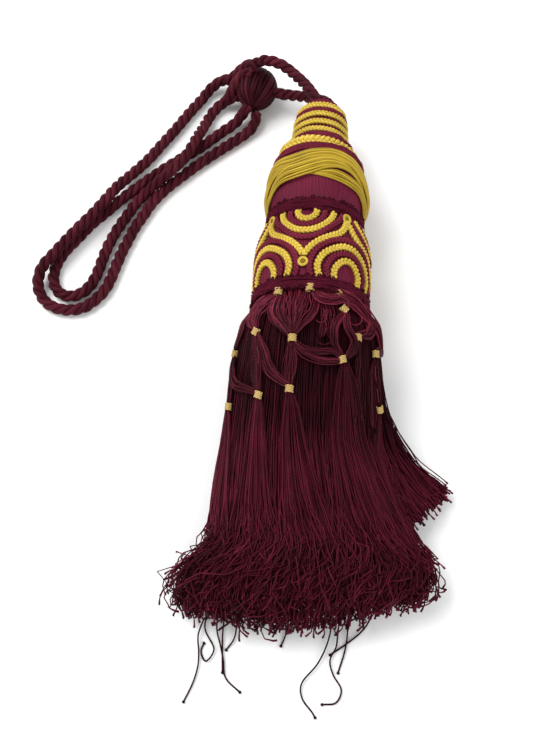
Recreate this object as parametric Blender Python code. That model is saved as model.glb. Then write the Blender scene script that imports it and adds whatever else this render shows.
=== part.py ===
"""Curtain tieback tassel with a laid rope loop, lying on its side on a table.

Metres, +Z up. The head lies along +Y, the skirt spreads towards -Y and the rope loop lies to the
left, towards -X. The origin is the middle of the small flat under the base gimp, where the head
rests. Most sizes below are in millimetres and are turned into metres where the meshes are made.
"""

import math
import random

import bmesh
import bpy
from mathutils import Matrix, Vector
from mathutils.geometry import delaunay_2d_cdt

MM = 0.001
GAP = 0.3                    # free space between two pieces that touch

# ---- head: sizes along and around the head's axis ---------------------------------------------
AXIS_HEIGHT = 35.0           # the head's axis above the table
TURN_STEPS = 28              # facets around a turned piece
WAIST_HALF = 3.1
WAIST_MIDDLE = 50.5
WAIST_RADIUS = 28.9
BASE_HALF = 3.0
BASE_RADIUS = 35.6

# stations along the axis: y, radius of the covered mould without its trimmings
CAP_PROFILE = [(138.0, 9.5), (135.5, 12.0), (131.0, 14.2), (126.0, 15.2), (118.0, 15.9),
               (110.5, 16.6), (105.5, 18.3), (102.8, 20.6), (100.4, 19.8), (95.0, 22.6),
               (92.4, 25.0), (90.0, 25.2), (88.3, 25.6)]
BELL_PROFILE = [(88.0, 25.8), (84.0, 27.3), (78.5, 28.4), (73.0, 29.2), (67.0, 30.2),
                (61.5, 30.0), (57.5, 29.2), (53.9, 28.2)]
DRUM_PROFILE = [(47.1, 28.3), (43.0, 29.6), (38.0, 31.5), (32.0, 32.6), (25.0, 33.0),
                (17.0, 33.0), (9.0, 32.7), (3.5, 32.4), (-3.0, 31.6)]

# plaited gold rings on the cap: y, ring radius, half width, half height
GOLD_RINGS = [("braid_1", 127.2, 16.8, 2.3, 1.5), ("braid_2", 120.2, 17.6, 2.3, 1.5),
              ("braid_3", 114.4, 18.2, 2.3, 1.5), ("braid_4", 108.7, 19.2, 2.1, 1.5),
              ("braid_5", 97.4, 23.1, 2.0, 1.6)]

# gold cord bands wound over the bell: middle y, slant, angle where the band lies nearest the cap,
# layer above the bell
WRAP_WIDTH = 9.4
WRAP_THICK = 0.8
WRAP_LIFT = 0.45             # of the lowest band above the bell
WRAP_CROWN = 0.94            # width of a band's outer face, as a share of its inner face
WRAP_STEPS = 30
WRAPS = [("wrap_top", 74.0, 9.0, -25.0, 1), ("wrap_left", 69.5, 9.0, 35.0, 2),
         ("wrap_right", 65.5, 5.5, -35.0, 0)]

# ---- gold gimps on the drum: a quarter of the round, repeated -----------------------------------
REPEATS = 4
PATTERN_TURN = -10.0         # angle of the first repeat from the top of the drum
GIMP_WIDTH = 3.6
GIMP_THICK = 1.4
# half scrolls as (angle from the scroll's middle in degrees, y), from the middle outwards
UPPER_OUTER = [(0, 31.2), (11, 32.7), (22, 37.8), (29, 44.6)]
UPPER_INNER = [(0, 39.4), (6, 40.7), (10, 44.6)]
LOWER_OUTER = [(0, 24.2), (9, 23.4), (19, 20.4), (27, 16.2), (31, 10.5), (29, 4.8)]
LOWER_INNER = [(0, 15.8), (8, 14.0), (14, 9.5), (14, 4.8)]
WAVE = [(0, 17.5), (5, 20.5), (12.5, 24.8), (21.5, 28.0), (33, 31.5), (40, 35.5), (45, 38.5)]
ROSETTE_RADIUS = 2.8
UPPER_ROSETTE_Y = 43.6
LOWER_ROSETTE_Y = 11.2

# ---- skirt ------------------------------------------------------------------------------------
SKIRT_ROOT = -6.4            # y where the strands leave the backing
BACKING_TOP = -3.3
BACKING_RADIUS = 29.7
BACKING_SIDES = 36
STRAND_RADIUS = 1.25
STRAND_STEPS = [0.0, 0.07, 0.22, 0.55, 0.95, 1.0]     # shares of a strand's length
# concentric rows of strands: share of the skirt's size, strands in the row
STRAND_ROWS = [(1.0, 52), (0.73, 38), (0.46, 22), (0.2, 8)]
# the skirt along its length: y, left edge, right edge, underside, top
SKIRT_STATIONS = [(-6.4, -28.0, 28.0, 6.8, 63.2), (-16.0, -33.5, 34.0, 7.5, 64.0),
                  (-30.0, -36.0, 38.0, 7.7, 62.0), (-55.0, -39.0, 44.2, 7.7, 55.0),
                  (-80.0, -42.5, 50.0, 6.0, 46.5), (-95.0, -44.0, 55.0, 2.6, 42.0),
                  (-110.0, -45.5, 60.0, 1.0, 38.0), (-126.0, -48.5, 66.0, 0.95, 34.0),
                  (-142.0, -57.0, 73.0, 0.95, 31.0), (-156.0, -66.0, 76.0, 0.95, 28.0),
                  (-180.0, -67.0, 74.0, 0.95, 20.0)]
SKIRT_END = -173.0           # mean end of the strands at the middle
SKIRT_END_SIDE = -158.0      # and at the two sides
END_SPREAD = 9.0             # how unevenly the strands end
FLICK = 30.0                 # how far the right-hand upper strands flick out
FLICK_STEPS = [0.0, 0.08, 0.25, 0.52, 0.78, 1.0]
FLICK_SHORT = 56.0           # how much shorter they are
FLICK_ANGLES = (52.0, 98.0)  # and where they stand in the outer row
# long loose threads on the table: place in the outer row, then (x, y) past the skirt's ends
LOOSE_THREADS = {35: [(-41.5, -186.0), (-47.0, -197.0), (-53.0, -214.0)],
                 34: [(-34.5, -193.0), (-32.0, -201.0), (-24.0, -208.0)],
                 23: [(14.0, -191.0), (8.5, -204.0), (16.0, -218.0)],
                 22: [(23.5, -190.0), (27.5, -203.0), (20.0, -211.0)],
                 21: [(31.0, -184.0), (29.5, -190.0), (27.5, -196.0)]}
THREAD_RADIUS = 0.6
SETTLE_LENGTH = 60.0         # length in which the round skirt settles on the table
WIDEST_SHARE = 0.36          # level of the settled skirt's widest place, as a share of its height
CORNER_SHARE = 0.4           # share of the underside that curves down to the table
FLAT_ANGLE = 90.0            # strands that stand past this angle from the top lie on the table

# ---- net of tied yarn bundles over the skirt ----------------------------------------------------
NET_COLUMNS = [-88, -59, -30, -2, 24, 52, 80, 112, 144, 176, 208, 240]
NET_LIFT = 4.9               # height of a bundle's middle above the strands' envelope
BUNDLE = 3.0                 # width of a bundle
BUNDLE_FLAT = 0.7            # a bundle's thickness as a share of its width
KNOT_SIZE = 5.4
KNOT_SHOULDER = 0.8          # size of a knot's top and bottom, as a share of its middle ridge
KNOT_FLAT = 0.84             # a knot's thickness as a share of a bundle's width
BAND_INNER = 30.8
BAND_OUTER = 34.4
BUNDLE_TURN = 6.0            # angle that one bundle takes up on the band
# tied knots of the second row: between columns n and n + 1; angle, y
SECOND_ROW = [(-74, -37.0), (-50, -27.5), (-14, -35.0), (23, -17.5), (42.5, -30.5), (64, -34.0),
              (96, -36.0), (128, -35.0), (160, -36.0), (192, -35.0), (224, -36.0), (256, -35.0)]
# tied knots of the third row: between knots n and n + 1 of the second
THIRD_ROW = [(-42, -62.0), (-14, -61.0), (19, -45.0), (41, -58.0), (58, -61.5), (80, -58.0),
             (112, -60.0), (144, -60.0), (176, -60.0), (208, -60.0), (240, -60.0), (-86, -61.5)]
HALF_KNOT_TURN = 2.0         # angle from a knot's middle to the middle of its half
TAIL = 13.0                  # loose end of a bundle past its last knot
TAIL_SWAY = 3.0              # angle by which the two loose ends part
TAIL_DROOP = 1.2
COLUMN_STEPS = 4             # steps of a bundle that shows, and half as many underneath

# ---- rope --------------------------------------------------------------------------------------
ROPE_RADIUS = 3.7
ROPE_VALLEY = 2.75
ROPE_PITCH = 18.6            # length in which a strand goes once round, laid left-handed
RINGS_PER_TURN = 7
# routes as (x, y, z), chosen by hand
LOOP_OUTER = [(-57.6, 169.5, 13.4), (-63.0, 173.2, 12.0), (-68.0, 174.0, 9.5),
              (-73.0, 172.5, 6.5), (-77.5, 168.5, 4.3),
              (-81.0, 162.5, 3.8), (-88.5, 150.5, 3.8), (-96.5, 136.5, 3.8), (-104.5, 123.5, 3.8),
              (-112.0, 111.5, 3.8), (-121.0, 98.5, 5.5), (-127.5, 87.5, 9.0), (-133.0, 76.5, 11.0),
              (-139.5, 65.5, 11.2), (-147.0, 55.0, 11.2), (-154.0, 44.5, 11.2), (-160.0, 35.0, 11.2),
              (-165.0, 27.5, 10.5), (-167.5, 20.5, 8.0), (-167.0, 13.5, 5.3), (-162.5, 6.5, 4.1),
              (-155.5, 2.5, 3.8), (-147.0, 1.5, 3.8), (-138.5, 3.5, 3.8), (-131.5, 9.5, 3.8),
              (-126.5, 17.0, 3.8), (-123.9, 25.1, 3.8), (-121.8, 34.2, 3.8), (-119.6, 43.3, 3.8),
              (-116.7, 52.4, 3.8), (-113.8, 61.0, 3.8), (-109.8, 69.6, 3.8), (-105.8, 78.2, 3.8),
              (-100.9, 86.1, 3.8), (-95.1, 93.5, 3.8), (-88.4, 100.5, 3.8), (-78.2, 110.8, 3.8),
              (-66.2, 121.8, 3.8), (-54.0, 132.4, 3.8), (-47.1, 138.9, 4.3), (-43.8, 144.0, 6.2),
              (-42.7, 150.4, 8.9)]
LOOP_INNER = [(-49.6, 152.0, 10.1), (-56.5, 144.0, 5.3), (-65.0, 137.0, 3.9), (-73.0, 129.0, 3.8),
              (-81.0, 121.5, 3.8), (-90.5, 114.0, 3.8), (-100.5, 105.5, 3.8), (-110.0, 96.5, 3.8),
              (-118.5, 88.0, 3.8), (-126.5, 79.5, 3.8), (-133.5, 71.0, 3.8), (-141.5, 62.0, 3.8),
              (-148.5, 51.5, 3.8), (-155.5, 41.0, 3.8), (-159.0, 32.0, 3.8), (-159.8, 24.0, 3.8),
              (-158.0, 17.0, 3.8), (-154.0, 12.5, 3.8), (-148.5, 10.7, 3.8), (-143.0, 12.0, 3.8),
              (-138.5, 15.5, 3.8), (-134.8, 21.6, 3.8), (-132.7, 28.7, 3.8), (-131.1, 36.8, 3.8),
              (-129.3, 45.4, 3.8), (-126.4, 54.5, 3.8), (-122.9, 63.1, 3.8), (-118.9, 71.6, 3.8),
              (-114.5, 80.1, 3.9), (-109.0, 86.9, 5.0), (-102.0, 93.0, 8.5), (-95.5, 98.5, 11.0),
              (-89.0, 106.0, 11.8), (-84.0, 115.0, 12.0), (-80.5, 125.0, 11.4), (-78.0, 135.5, 7.2),
              (-75.5, 145.5, 4.1), (-72.5, 152.5, 3.8), (-68.0, 158.0, 4.6), (-63.0, 161.0, 6.5),
              (-56.3, 162.2, 9.4)]
NECK_OVER = [(-4.3, 138.8, 36.2), (-4.8, 143.0, 36.4), (-8.5, 150.5, 34.6), (-13.5, 159.5, 31.0),
             (-21.5, 170.0, 27.4), (-27.0, 174.8, 26.8), (-32.6, 177.4, 26.8), (-38.1, 177.8, 27.4),
             (-42.1, 176.2, 28.1), (-44.8, 173.6, 28.6)]
NECK_UNDER = [(4.5, 138.6, 33.2), (3.8, 142.6, 32.6), (-2.0, 148.2, 28.2), (-8.5, 154.0, 22.8),
              (-15.5, 158.2, 18.2), (-22.5, 160.7, 15.6), (-29.0, 161.6, 14.6)]
KNOT_CENTRE = (-43.0, 165.0, 13.6)
KNOT_SIZE_XYZ = (28.0, 30.0, 27.2)
KNOT_TURNS = 4
KNOT_VALLEY = 0.85           # depth of the grooves between the turns
KNOT_AXIS_TURN = -38.0       # the winding's axis in plan, from +X

# ---- finishes: colour, roughness, metallic ------------------------------------------------------
BURGUNDY = ("burgundy_rayon", (0.055, 0.006, 0.016), 0.5, 0.0)
SATIN = ("burgundy_satin", (0.16, 0.012, 0.06), 0.4, 0.0)
DARK = ("burgundy_gimp", (0.045, 0.004, 0.015), 0.75, 0.0)
GOLD = ("gold_gimp", (0.55, 0.38, 0.045), 0.5, 0.1)
FINISHES = {}


def clear_scene():
    for thing in list(bpy.data.objects):
        bpy.data.objects.remove(thing, do_unlink=True)


def finish_of(spec):
    name, colour, roughness, metallic = spec
    if name not in FINISHES:
        material = bpy.data.materials.new(name)
        material.use_nodes = True
        shader = material.node_tree.nodes["Principled BSDF"]
        shader.inputs["Base Color"].default_value = (*colour, 1.0)
        shader.inputs["Roughness"].default_value = roughness
        shader.inputs["Metallic"].default_value = metallic
        FINISHES[name] = material
    return FINISHES[name]


def add_piece(name, bm, spec):
    """Turn a bmesh in millimetres into a named object in metres."""
    bmesh.ops.scale(bm, vec=(MM, MM, MM), verts=bm.verts)
    bmesh.ops.recalc_face_normals(bm, faces=bm.faces)
    mesh = bpy.data.meshes.new(name)
    bm.to_mesh(mesh)
    bm.free()
    mesh.shade_smooth()
    mesh.set_sharp_from_angle(angle=math.radians(40))
    piece = bpy.data.objects.new(name, mesh)
    piece.data.materials.append(finish_of(spec))
    bpy.context.scene.collection.objects.link(piece)
    return piece


# ---- turned pieces of the head -------------------------------------------------------------------
def lathe(points, closed, steps=TURN_STEPS):
    """Spin (y, radius) points round the head's axis; a closed outline gives a ring."""
    bm = bmesh.new()
    verts = [bm.verts.new((0.0, y, AXIS_HEIGHT + r)) for y, r in points]
    pairs = list(zip(verts, verts[1:] + verts[:1])) if closed else list(zip(verts, verts[1:]))
    edges = [bm.edges.new(pair) for pair in pairs]
    bmesh.ops.spin(bm, geom=verts + edges, cent=(0, 0, AXIS_HEIGHT), axis=(0, 1, 0),
                   angle=math.tau, steps=steps, use_merge=True)
    bmesh.ops.remove_doubles(bm, verts=bm.verts, dist=0.01)
    return bm


def turned_solid(name, profile, spec):
    ends = [(profile[0][0], 0.0)] + profile + [(profile[-1][0], 0.0)]
    return add_piece(name, lathe(ends, closed=False), spec)


def oval(y, radius, half_width, half_height, sides):
    """The section of a ring of cord, as (y, radius) points."""
    return [(y + half_width * math.cos(a), radius + half_height * math.sin(a))
            for a in (math.tau * (k + 0.5) / sides for k in range(sides))]


def cord_ring(name, y, radius, half_width, half_height, spec, sides=5, steps=24):
    return add_piece(name, lathe(oval(y, radius, half_width, half_height, sides), True, steps), spec)


def profile_radius(profile, y):
    """The mould's radius at y, between its stations."""
    stations = sorted(profile)
    if y <= stations[0][0]:
        return stations[0][1]
    for (y0, r0), (y1, r1) in zip(stations, stations[1:]):
        if y <= y1:
            return r0 + (r1 - r0) * (y - y0) / (y1 - y0)
    return stations[-1][1]


def on_head(angle, y, radius):
    """A point round the head: angle 0 is on top, +90 is on the right."""
    a = math.radians(angle)
    return Vector((radius * math.sin(a), y, AXIS_HEIGHT + radius * math.cos(a)))


def base_gimp():
    """The gimp round the drum's foot, with a small flat underneath where the head rests."""
    foot = profile_radius(DRUM_PROFILE, BASE_HALF)
    outline = [(BASE_HALF, foot + 0.6), (BASE_HALF - 0.8, BASE_RADIUS - 0.2),
               (0.0, BASE_RADIUS), (-BASE_HALF + 0.8, BASE_RADIUS - 0.2),
               (-BASE_HALF, foot + 0.6)]
    bm = lathe(outline, True, steps=40)
    cut = bmesh.ops.bisect_plane(bm, geom=bm.verts[:] + bm.edges[:] + bm.faces[:], dist=1e-4,
                                 plane_co=(0, 0, 0), plane_no=(0, 0, -1), clear_outer=True)
    rim = [item for item in cut["geom_cut"] if isinstance(item, bmesh.types.BMEdge)]
    bmesh.ops.holes_fill(bm, edges=rim, sides=0)
    return add_piece("base_gimp", bm, DARK)


def wrap_band(name, middle, slant, turn, layer):
    """A flat band of gold cords round the bell, closed on itself and slanted."""
    lift = WRAP_LIFT + layer * (WRAP_THICK + GAP)
    half = WRAP_WIDTH / 2
    rings = []
    for k in range(WRAP_STEPS):
        angle = 360.0 * k / WRAP_STEPS
        y = middle + slant * math.cos(math.radians(angle - turn))
        ring = []
        for d in (half, 0, -half):
            ring.append(on_head(angle, y + d, profile_radius(BELL_PROFILE, y + d) + lift))
        for d in (-half, 0, half):
            radius = profile_radius(BELL_PROFILE, y + d) + lift + WRAP_THICK
            ring.append(on_head(angle, y + d * WRAP_CROWN, radius))
        rings.append(ring)
    return add_piece(name, skin(rings, closed=True), GOLD)


# ---- swept pieces --------------------------------------------------------------------------------
def skin(rings, closed):
    """Join rings of points, each with the same number of sides, into one closed mesh."""
    bm = bmesh.new()
    loops = [[bm.verts.new(p) for p in ring] for ring in rings]
    sides = len(loops[0])
    pairs = list(zip(loops, loops[1:]))
    if closed:
        pairs.append((loops[-1], loops[0]))
    else:
        bm.faces.new(loops[0][::-1])
        bm.faces.new(loops[-1])
    for low, high in pairs:
        for k in range(sides):
            bm.faces.new((low[k], low[(k + 1) % sides], high[(k + 1) % sides], high[k]))
    return bm


def smooth_route(points, step):
    """Even points along a smooth curve through the route's own points."""
    stops = [Vector(p) for p in points]
    stops = [stops[0] * 2 - stops[1]] + stops + [stops[-1] * 2 - stops[-2]]
    dense = []
    for a, b, c, d in zip(stops, stops[1:], stops[2:], stops[3:]):
        for k in range(16):
            t = k / 16
            dense.append(0.5 * (2 * b + (c - a) * t + (2 * a - 5 * b + 4 * c - d) * t * t
                                + (3 * b - a - 3 * c + d) * t * t * t))
    dense.append(stops[-2])
    lengths = [0.0]
    for p, q in zip(dense, dense[1:]):
        lengths.append(lengths[-1] + (q - p).length)
    count = max(2, round(lengths[-1] / step))
    even, place = [], 0
    for k in range(count + 1):
        goal = lengths[-1] * k / count
        while place < len(dense) - 2 and lengths[place + 1] < goal:
            place += 1
        share = (goal - lengths[place]) / (lengths[place + 1] - lengths[place])
        even.append(dense[place].lerp(dense[place + 1], share))
    return even


def rope(name, route):
    """A three-strand laid rope: its section has three lobes that turn along the route."""
    step = ROPE_PITCH / RINGS_PER_TURN
    path = smooth_route(route, step)
    rings = []
    side = None
    for k, centre in enumerate(path):
        ahead = (path[min(k + 1, len(path) - 1)] - path[max(k - 1, 0)]).normalized()
        if side is None:
            side = ahead.cross(Vector((0, 0, 1))).normalized()
        side = (side - ahead * side.dot(ahead)).normalized()
        up = ahead.cross(side)
        turn = -math.tau * k / RINGS_PER_TURN
        ring = []
        for corner in range(6):
            radius = ROPE_RADIUS if corner % 2 == 0 else ROPE_VALLEY
            a = turn + math.tau * corner / 6
            ring.append(centre + radius * (math.cos(a) * side + math.sin(a) * up))
        rings.append(ring)
    return add_piece(name, skin(rings, closed=False), BURGUNDY)


def rope_knot():
    """The wound knot: a ball of side-by-side turns of the rope, flat where it rests."""
    half_length = 0.5
    points = []
    for k in range(KNOT_TURNS * 3 + 1):
        share = k / (KNOT_TURNS * 3)
        polar = math.pi * share
        hump = KNOT_VALLEY if k % 3 == 0 else 1.0
        points.append((-half_length * math.cos(polar), half_length * math.sin(polar) * hump))
    points[0], points[-1] = (-half_length, 0.0), (half_length, 0.0)
    bm = bmesh.new()
    verts = [bm.verts.new((x, 0.0, r)) for x, r in points]
    edges = [bm.edges.new(pair) for pair in zip(verts, verts[1:])]
    bmesh.ops.spin(bm, geom=verts + edges, cent=(0, 0, 0), axis=(1, 0, 0), angle=math.tau,
                   steps=22, use_merge=True)
    bmesh.ops.remove_doubles(bm, verts=bm.verts, dist=1e-4)
    bmesh.ops.rotate(bm, verts=bm.verts, cent=(0, 0, 0),
                     matrix=Matrix.Rotation(math.radians(KNOT_AXIS_TURN), 3, "Z"))
    bmesh.ops.scale(bm, vec=KNOT_SIZE_XYZ, verts=bm.verts)
    bmesh.ops.translate(bm, vec=KNOT_CENTRE, verts=bm.verts)
    for vert in bm.verts:
        vert.co.z = max(vert.co.z, 0.0)
    return add_piece("rope_knot", bm, BURGUNDY)


# ---- gold gimps on the drum ------------------------------------------------------------------------
def gimp_path(points, turn):
    """Even points on the drum along a scroll; each is (angle, y)."""
    flat = [Vector((angle + turn, y * 1.7, 0.0)) for angle, y in points]
    steps = max(5, len(points) + 1)
    length = sum((q - p).length for p, q in zip(flat, flat[1:]))
    return [(p.x, p.y / 1.7) for p in smooth_route(flat, length / steps)]


def gimp_ring(spot, ahead):
    """The section of a gimp lying on the drum, at (angle, y) and heading along ahead."""
    angle, y = spot
    side = Vector((-ahead.y, ahead.x)).normalized() * GIMP_WIDTH / 2
    ring = []
    for across, height in ((-1, 0.0), (1, 0.0), (0.75, 1.0), (-0.75, 1.0)):
        turn = math.degrees(side.x * across / profile_radius(DRUM_PROFILE, y))
        place = y + side.y * across
        radius = profile_radius(DRUM_PROFILE, place) + GAP + 0.1 + height * GIMP_THICK
        ring.append(on_head(angle + turn, place, radius))
    return ring


def gimp(name, points, turn, closed=False):
    spots = gimp_path(points, turn)
    if closed:
        spots = spots[:-1]
    rings = []
    for k, spot in enumerate(spots):
        if closed:
            before, after = spots[k - 1], spots[(k + 1) % len(spots)]
        else:
            before, after = spots[max(k - 1, 0)], spots[min(k + 1, len(spots) - 1)]
        swing = (after[0] - before[0] + 180.0) % 360.0 - 180.0
        arc = math.radians(swing) * profile_radius(DRUM_PROFILE, spot[1])
        rings.append(gimp_ring(spot, Vector((arc, after[1] - before[1]))))
    return add_piece(name, skin(rings, closed), GOLD)


def rosette(name, angle, y):
    """A small gold button of coiled gimp."""
    radius = profile_radius(DRUM_PROFILE, y)
    bm = bmesh.new()
    bmesh.ops.create_cone(bm, cap_ends=True, segments=8, radius1=ROSETTE_RADIUS,
                          radius2=ROSETTE_RADIUS * 0.6, depth=GIMP_THICK)
    rise = (profile_radius(DRUM_PROFILE, y + ROSETTE_RADIUS)
            - profile_radius(DRUM_PROFILE, y - ROSETTE_RADIUS))
    lean = math.atan2(rise, 2 * ROSETTE_RADIUS)
    bmesh.ops.rotate(bm, verts=bm.verts, cent=(0, 0, 0), matrix=Matrix.Rotation(lean, 3, "X"))
    bmesh.ops.translate(bm, vec=(0, 0, radius + GAP + 0.4 + GIMP_THICK / 2), verts=bm.verts)
    bmesh.ops.rotate(bm, verts=bm.verts, cent=(0, 0, 0),
                     matrix=Matrix.Rotation(math.radians(angle), 3, "Y"))
    bmesh.ops.translate(bm, vec=(0, y, AXIS_HEIGHT), verts=bm.verts)
    return add_piece(name, bm, GOLD)


def both_halves(points):
    """A whole scroll from its half: the mirrored half first."""
    return [(-angle, y) for angle, y in points[:0:-1]] + points


def drum_trimmings():
    quarter = 360.0 / REPEATS
    for k in range(REPEATS):
        turn = PATTERN_TURN + quarter * k
        half = turn + quarter / 2
        gimp(f"gimp_upper_outer_{k + 1}", both_halves(UPPER_OUTER), turn)
        gimp(f"gimp_upper_inner_{k + 1}", both_halves(UPPER_INNER), turn)
        gimp(f"gimp_lower_outer_{k + 1}", both_halves(LOWER_OUTER), half)
        gimp(f"gimp_lower_inner_{k + 1}", both_halves(LOWER_INNER), half)
        rosette(f"rosette_upper_{k + 1}", half, UPPER_ROSETTE_Y)
        rosette(f"rosette_lower_{k + 1}", turn, LOWER_ROSETTE_Y)
    mirrored = [(quarter - angle, y) for angle, y in WAVE[-2::-1]]
    round_points = [(angle + quarter * k, y) for k in range(REPEATS) for angle, y in WAVE + mirrored[:-1]]
    round_points.append((360.0, WAVE[0][1]))
    gimp("gimp_wave", round_points, PATTERN_TURN, closed=True)


# ---- skirt -----------------------------------------------------------------------------------------
def skirt_station(y):
    """Left edge, right edge, underside and top of the skirt at y."""
    if y >= SKIRT_STATIONS[0][0]:
        return SKIRT_STATIONS[0][1:]
    for low, high in zip(SKIRT_STATIONS, SKIRT_STATIONS[1:]):
        if y >= high[0]:
            share = (y - low[0]) / (high[0] - low[0])
            return tuple(a + (b - a) * share for a, b in zip(low[1:], high[1:]))
    return SKIRT_STATIONS[-1][1:]


def in_skirt(size, angle, y):
    """Place of a strand in the skirt at y, from its row's size and its angle in the backing.

    Angle 0 is on top and +90 on the right. Near the backing the section is round; towards the
    ends it settles into a low mound that lies flat on the table, its strands evenly spread.
    """
    left, right, under, top = skirt_station(y)
    settled = min(1.0, max(0.0, (SKIRT_ROOT - y) / SETTLE_LENGTH))
    settled = settled * settled * (3 - 2 * settled)
    angle = (angle + 180.0) % 360.0 - 180.0
    a = math.radians(angle)
    height = top - under
    round_place = Vector((size * math.sin(a), under + height * (1.0 + size * math.cos(a)) / 2))
    widest = height * WIDEST_SHARE
    past = abs(angle) / 90.0 - 1.0
    if past <= 0.0:
        crown = (height - widest) * size * math.cos(a)
        flat_place = Vector((size * math.sin(a), under + widest + crown))
    else:
        drop = math.sin(min(1.0, past / CORNER_SHARE) * math.pi / 2)
        inward = math.copysign(size * (1.0 - past), a)
        flat_place = Vector((inward, under + widest * (1.0 - size * drop)))
    across, z = round_place.lerp(flat_place, settled)
    return Vector(((left + right) / 2 + across * (right - left) / 2, y, z))


def strand_path(size, angle, luck):
    """Points of one strand, from its root to its end."""
    across = size * math.sin(math.radians(angle))
    end = SKIRT_END + (SKIRT_END_SIDE - SKIRT_END) * across * across
    end += END_SPREAD * (luck.random() - 0.5)
    curl = Vector((luck.uniform(-1.0, 1.0), 0.0, luck.uniform(0.0, 1.0)))
    if abs((angle + 180.0) % 360.0 - 180.0) > FLAT_ANGLE:
        curl.z = 0.0
    flick = size == 1.0 and FLICK_ANGLES[0] < angle < FLICK_ANGLES[1]
    path = []
    if flick:
        end += FLICK_SHORT
    for share in FLICK_STEPS if flick else STRAND_STEPS:
        y = SKIRT_ROOT + (end - SKIRT_ROOT) * share
        point = in_skirt(size, angle, y)
        if flick and share == 1.0:
            point.x += FLICK * (across - 0.2)
        if share == 1.0:
            point += curl
        path.append(point)
    return path


def skirt():
    """All strands, rooted in a round backing that is fused to them."""
    luck = random.Random(11)
    roots = []
    for row, (size, count) in enumerate(STRAND_ROWS):
        for k in range(count):
            roots.append((size, 360.0 * (k + 0.5 * (row % 2)) / count))
    root_start = SKIRT_STATIONS[0]
    middle_z = (root_start[3] + root_start[4]) / 2
    corners, edges = [], []
    rim = BACKING_SIDES
    for k in range(rim):
        angle = math.tau * k / rim
        corners.append((BACKING_RADIUS * math.sin(angle), middle_z + BACKING_RADIUS * math.cos(angle)))
        edges.append((k, (k + 1) % rim))
    for size, angle in roots:
        centre = in_skirt(size, angle, SKIRT_ROOT)
        first = len(corners)
        for k in range(3):
            a = math.tau * (0.25 + k / 3)
            corners.append((centre.x + STRAND_RADIUS * math.cos(a),
                            centre.z + STRAND_RADIUS * math.sin(a)))
            edges.append((first + k, first + (k + 1) % 3))
    flat, _, faces, origins, _, _ = delaunay_2d_cdt([Vector(c) for c in corners], edges, [], 0, 1e-5)
    place_of = {old: new for new, olds in enumerate(origins) for old in olds}
    bm = bmesh.new()
    verts = [bm.verts.new((p.x, SKIRT_ROOT, p.y)) for p in flat]
    root_sets = {frozenset(place_of[rim + 3 * n + k] for k in range(3)): n for n in range(len(roots))}
    for face in faces:
        if frozenset(face) not in root_sets:
            bm.faces.new([verts[k] for k in face])
    back = [bm.verts.new((p[0], BACKING_TOP, p[1])) for p in corners[:rim]]
    bm.faces.new(back)
    for k in range(rim):
        n = (k + 1) % rim
        bm.faces.new((verts[place_of[k]], verts[place_of[n]], back[n], back[k]))
    for n, (size, angle) in enumerate(roots):
        ring = [verts[place_of[rim + 3 * n + k]] for k in range(3)]
        path = strand_path(size, angle, luck)
        loose = LOOSE_THREADS.get(n, [])
        if loose:
            level = SKIRT_STATIONS[-1][3]
            path = path[:-1] + [Vector((x, y, level)) for x, y in loose]
        grow_strand(bm, ring, path, len(loose))
    return add_piece("skirt", bm, BURGUNDY)


def grow_strand(bm, root, path, thread_points):
    """Grow a three-sided strand from its root along a path, ending in a point.

    Its last thread_points, if any, are a single thread on the table.
    """
    ring = root
    offsets = [v.co - path[0] for v in root]
    for k, point in enumerate(path[1:-1], 1):
        thin = THREAD_RADIUS / STRAND_RADIUS if k >= len(path) - thread_points else 1.0
        fresh = [bm.verts.new(point + offset * thin) for offset in offsets]
        for a in range(3):
            b = (a + 1) % 3
            bm.faces.new((ring[a], ring[b], fresh[b], fresh[a]))
        ring = fresh
    tip = bm.verts.new(path[-1])
    for a in range(3):
        bm.faces.new((ring[a], ring[(a + 1) % 3], tip))


# ---- net ---------------------------------------------------------------------------------------------
def on_envelope(angle, y, lift):
    """A point over the skirt: angle 0 is on top, +90 on the right; lift is outward from the strands."""
    here = in_skirt(1.0, angle, y)
    run = in_skirt(1.0, angle + 3.0, y) - in_skirt(1.0, angle - 3.0, y)
    return here + Vector((-run.z, 0.0, run.x)).normalized() * lift


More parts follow.
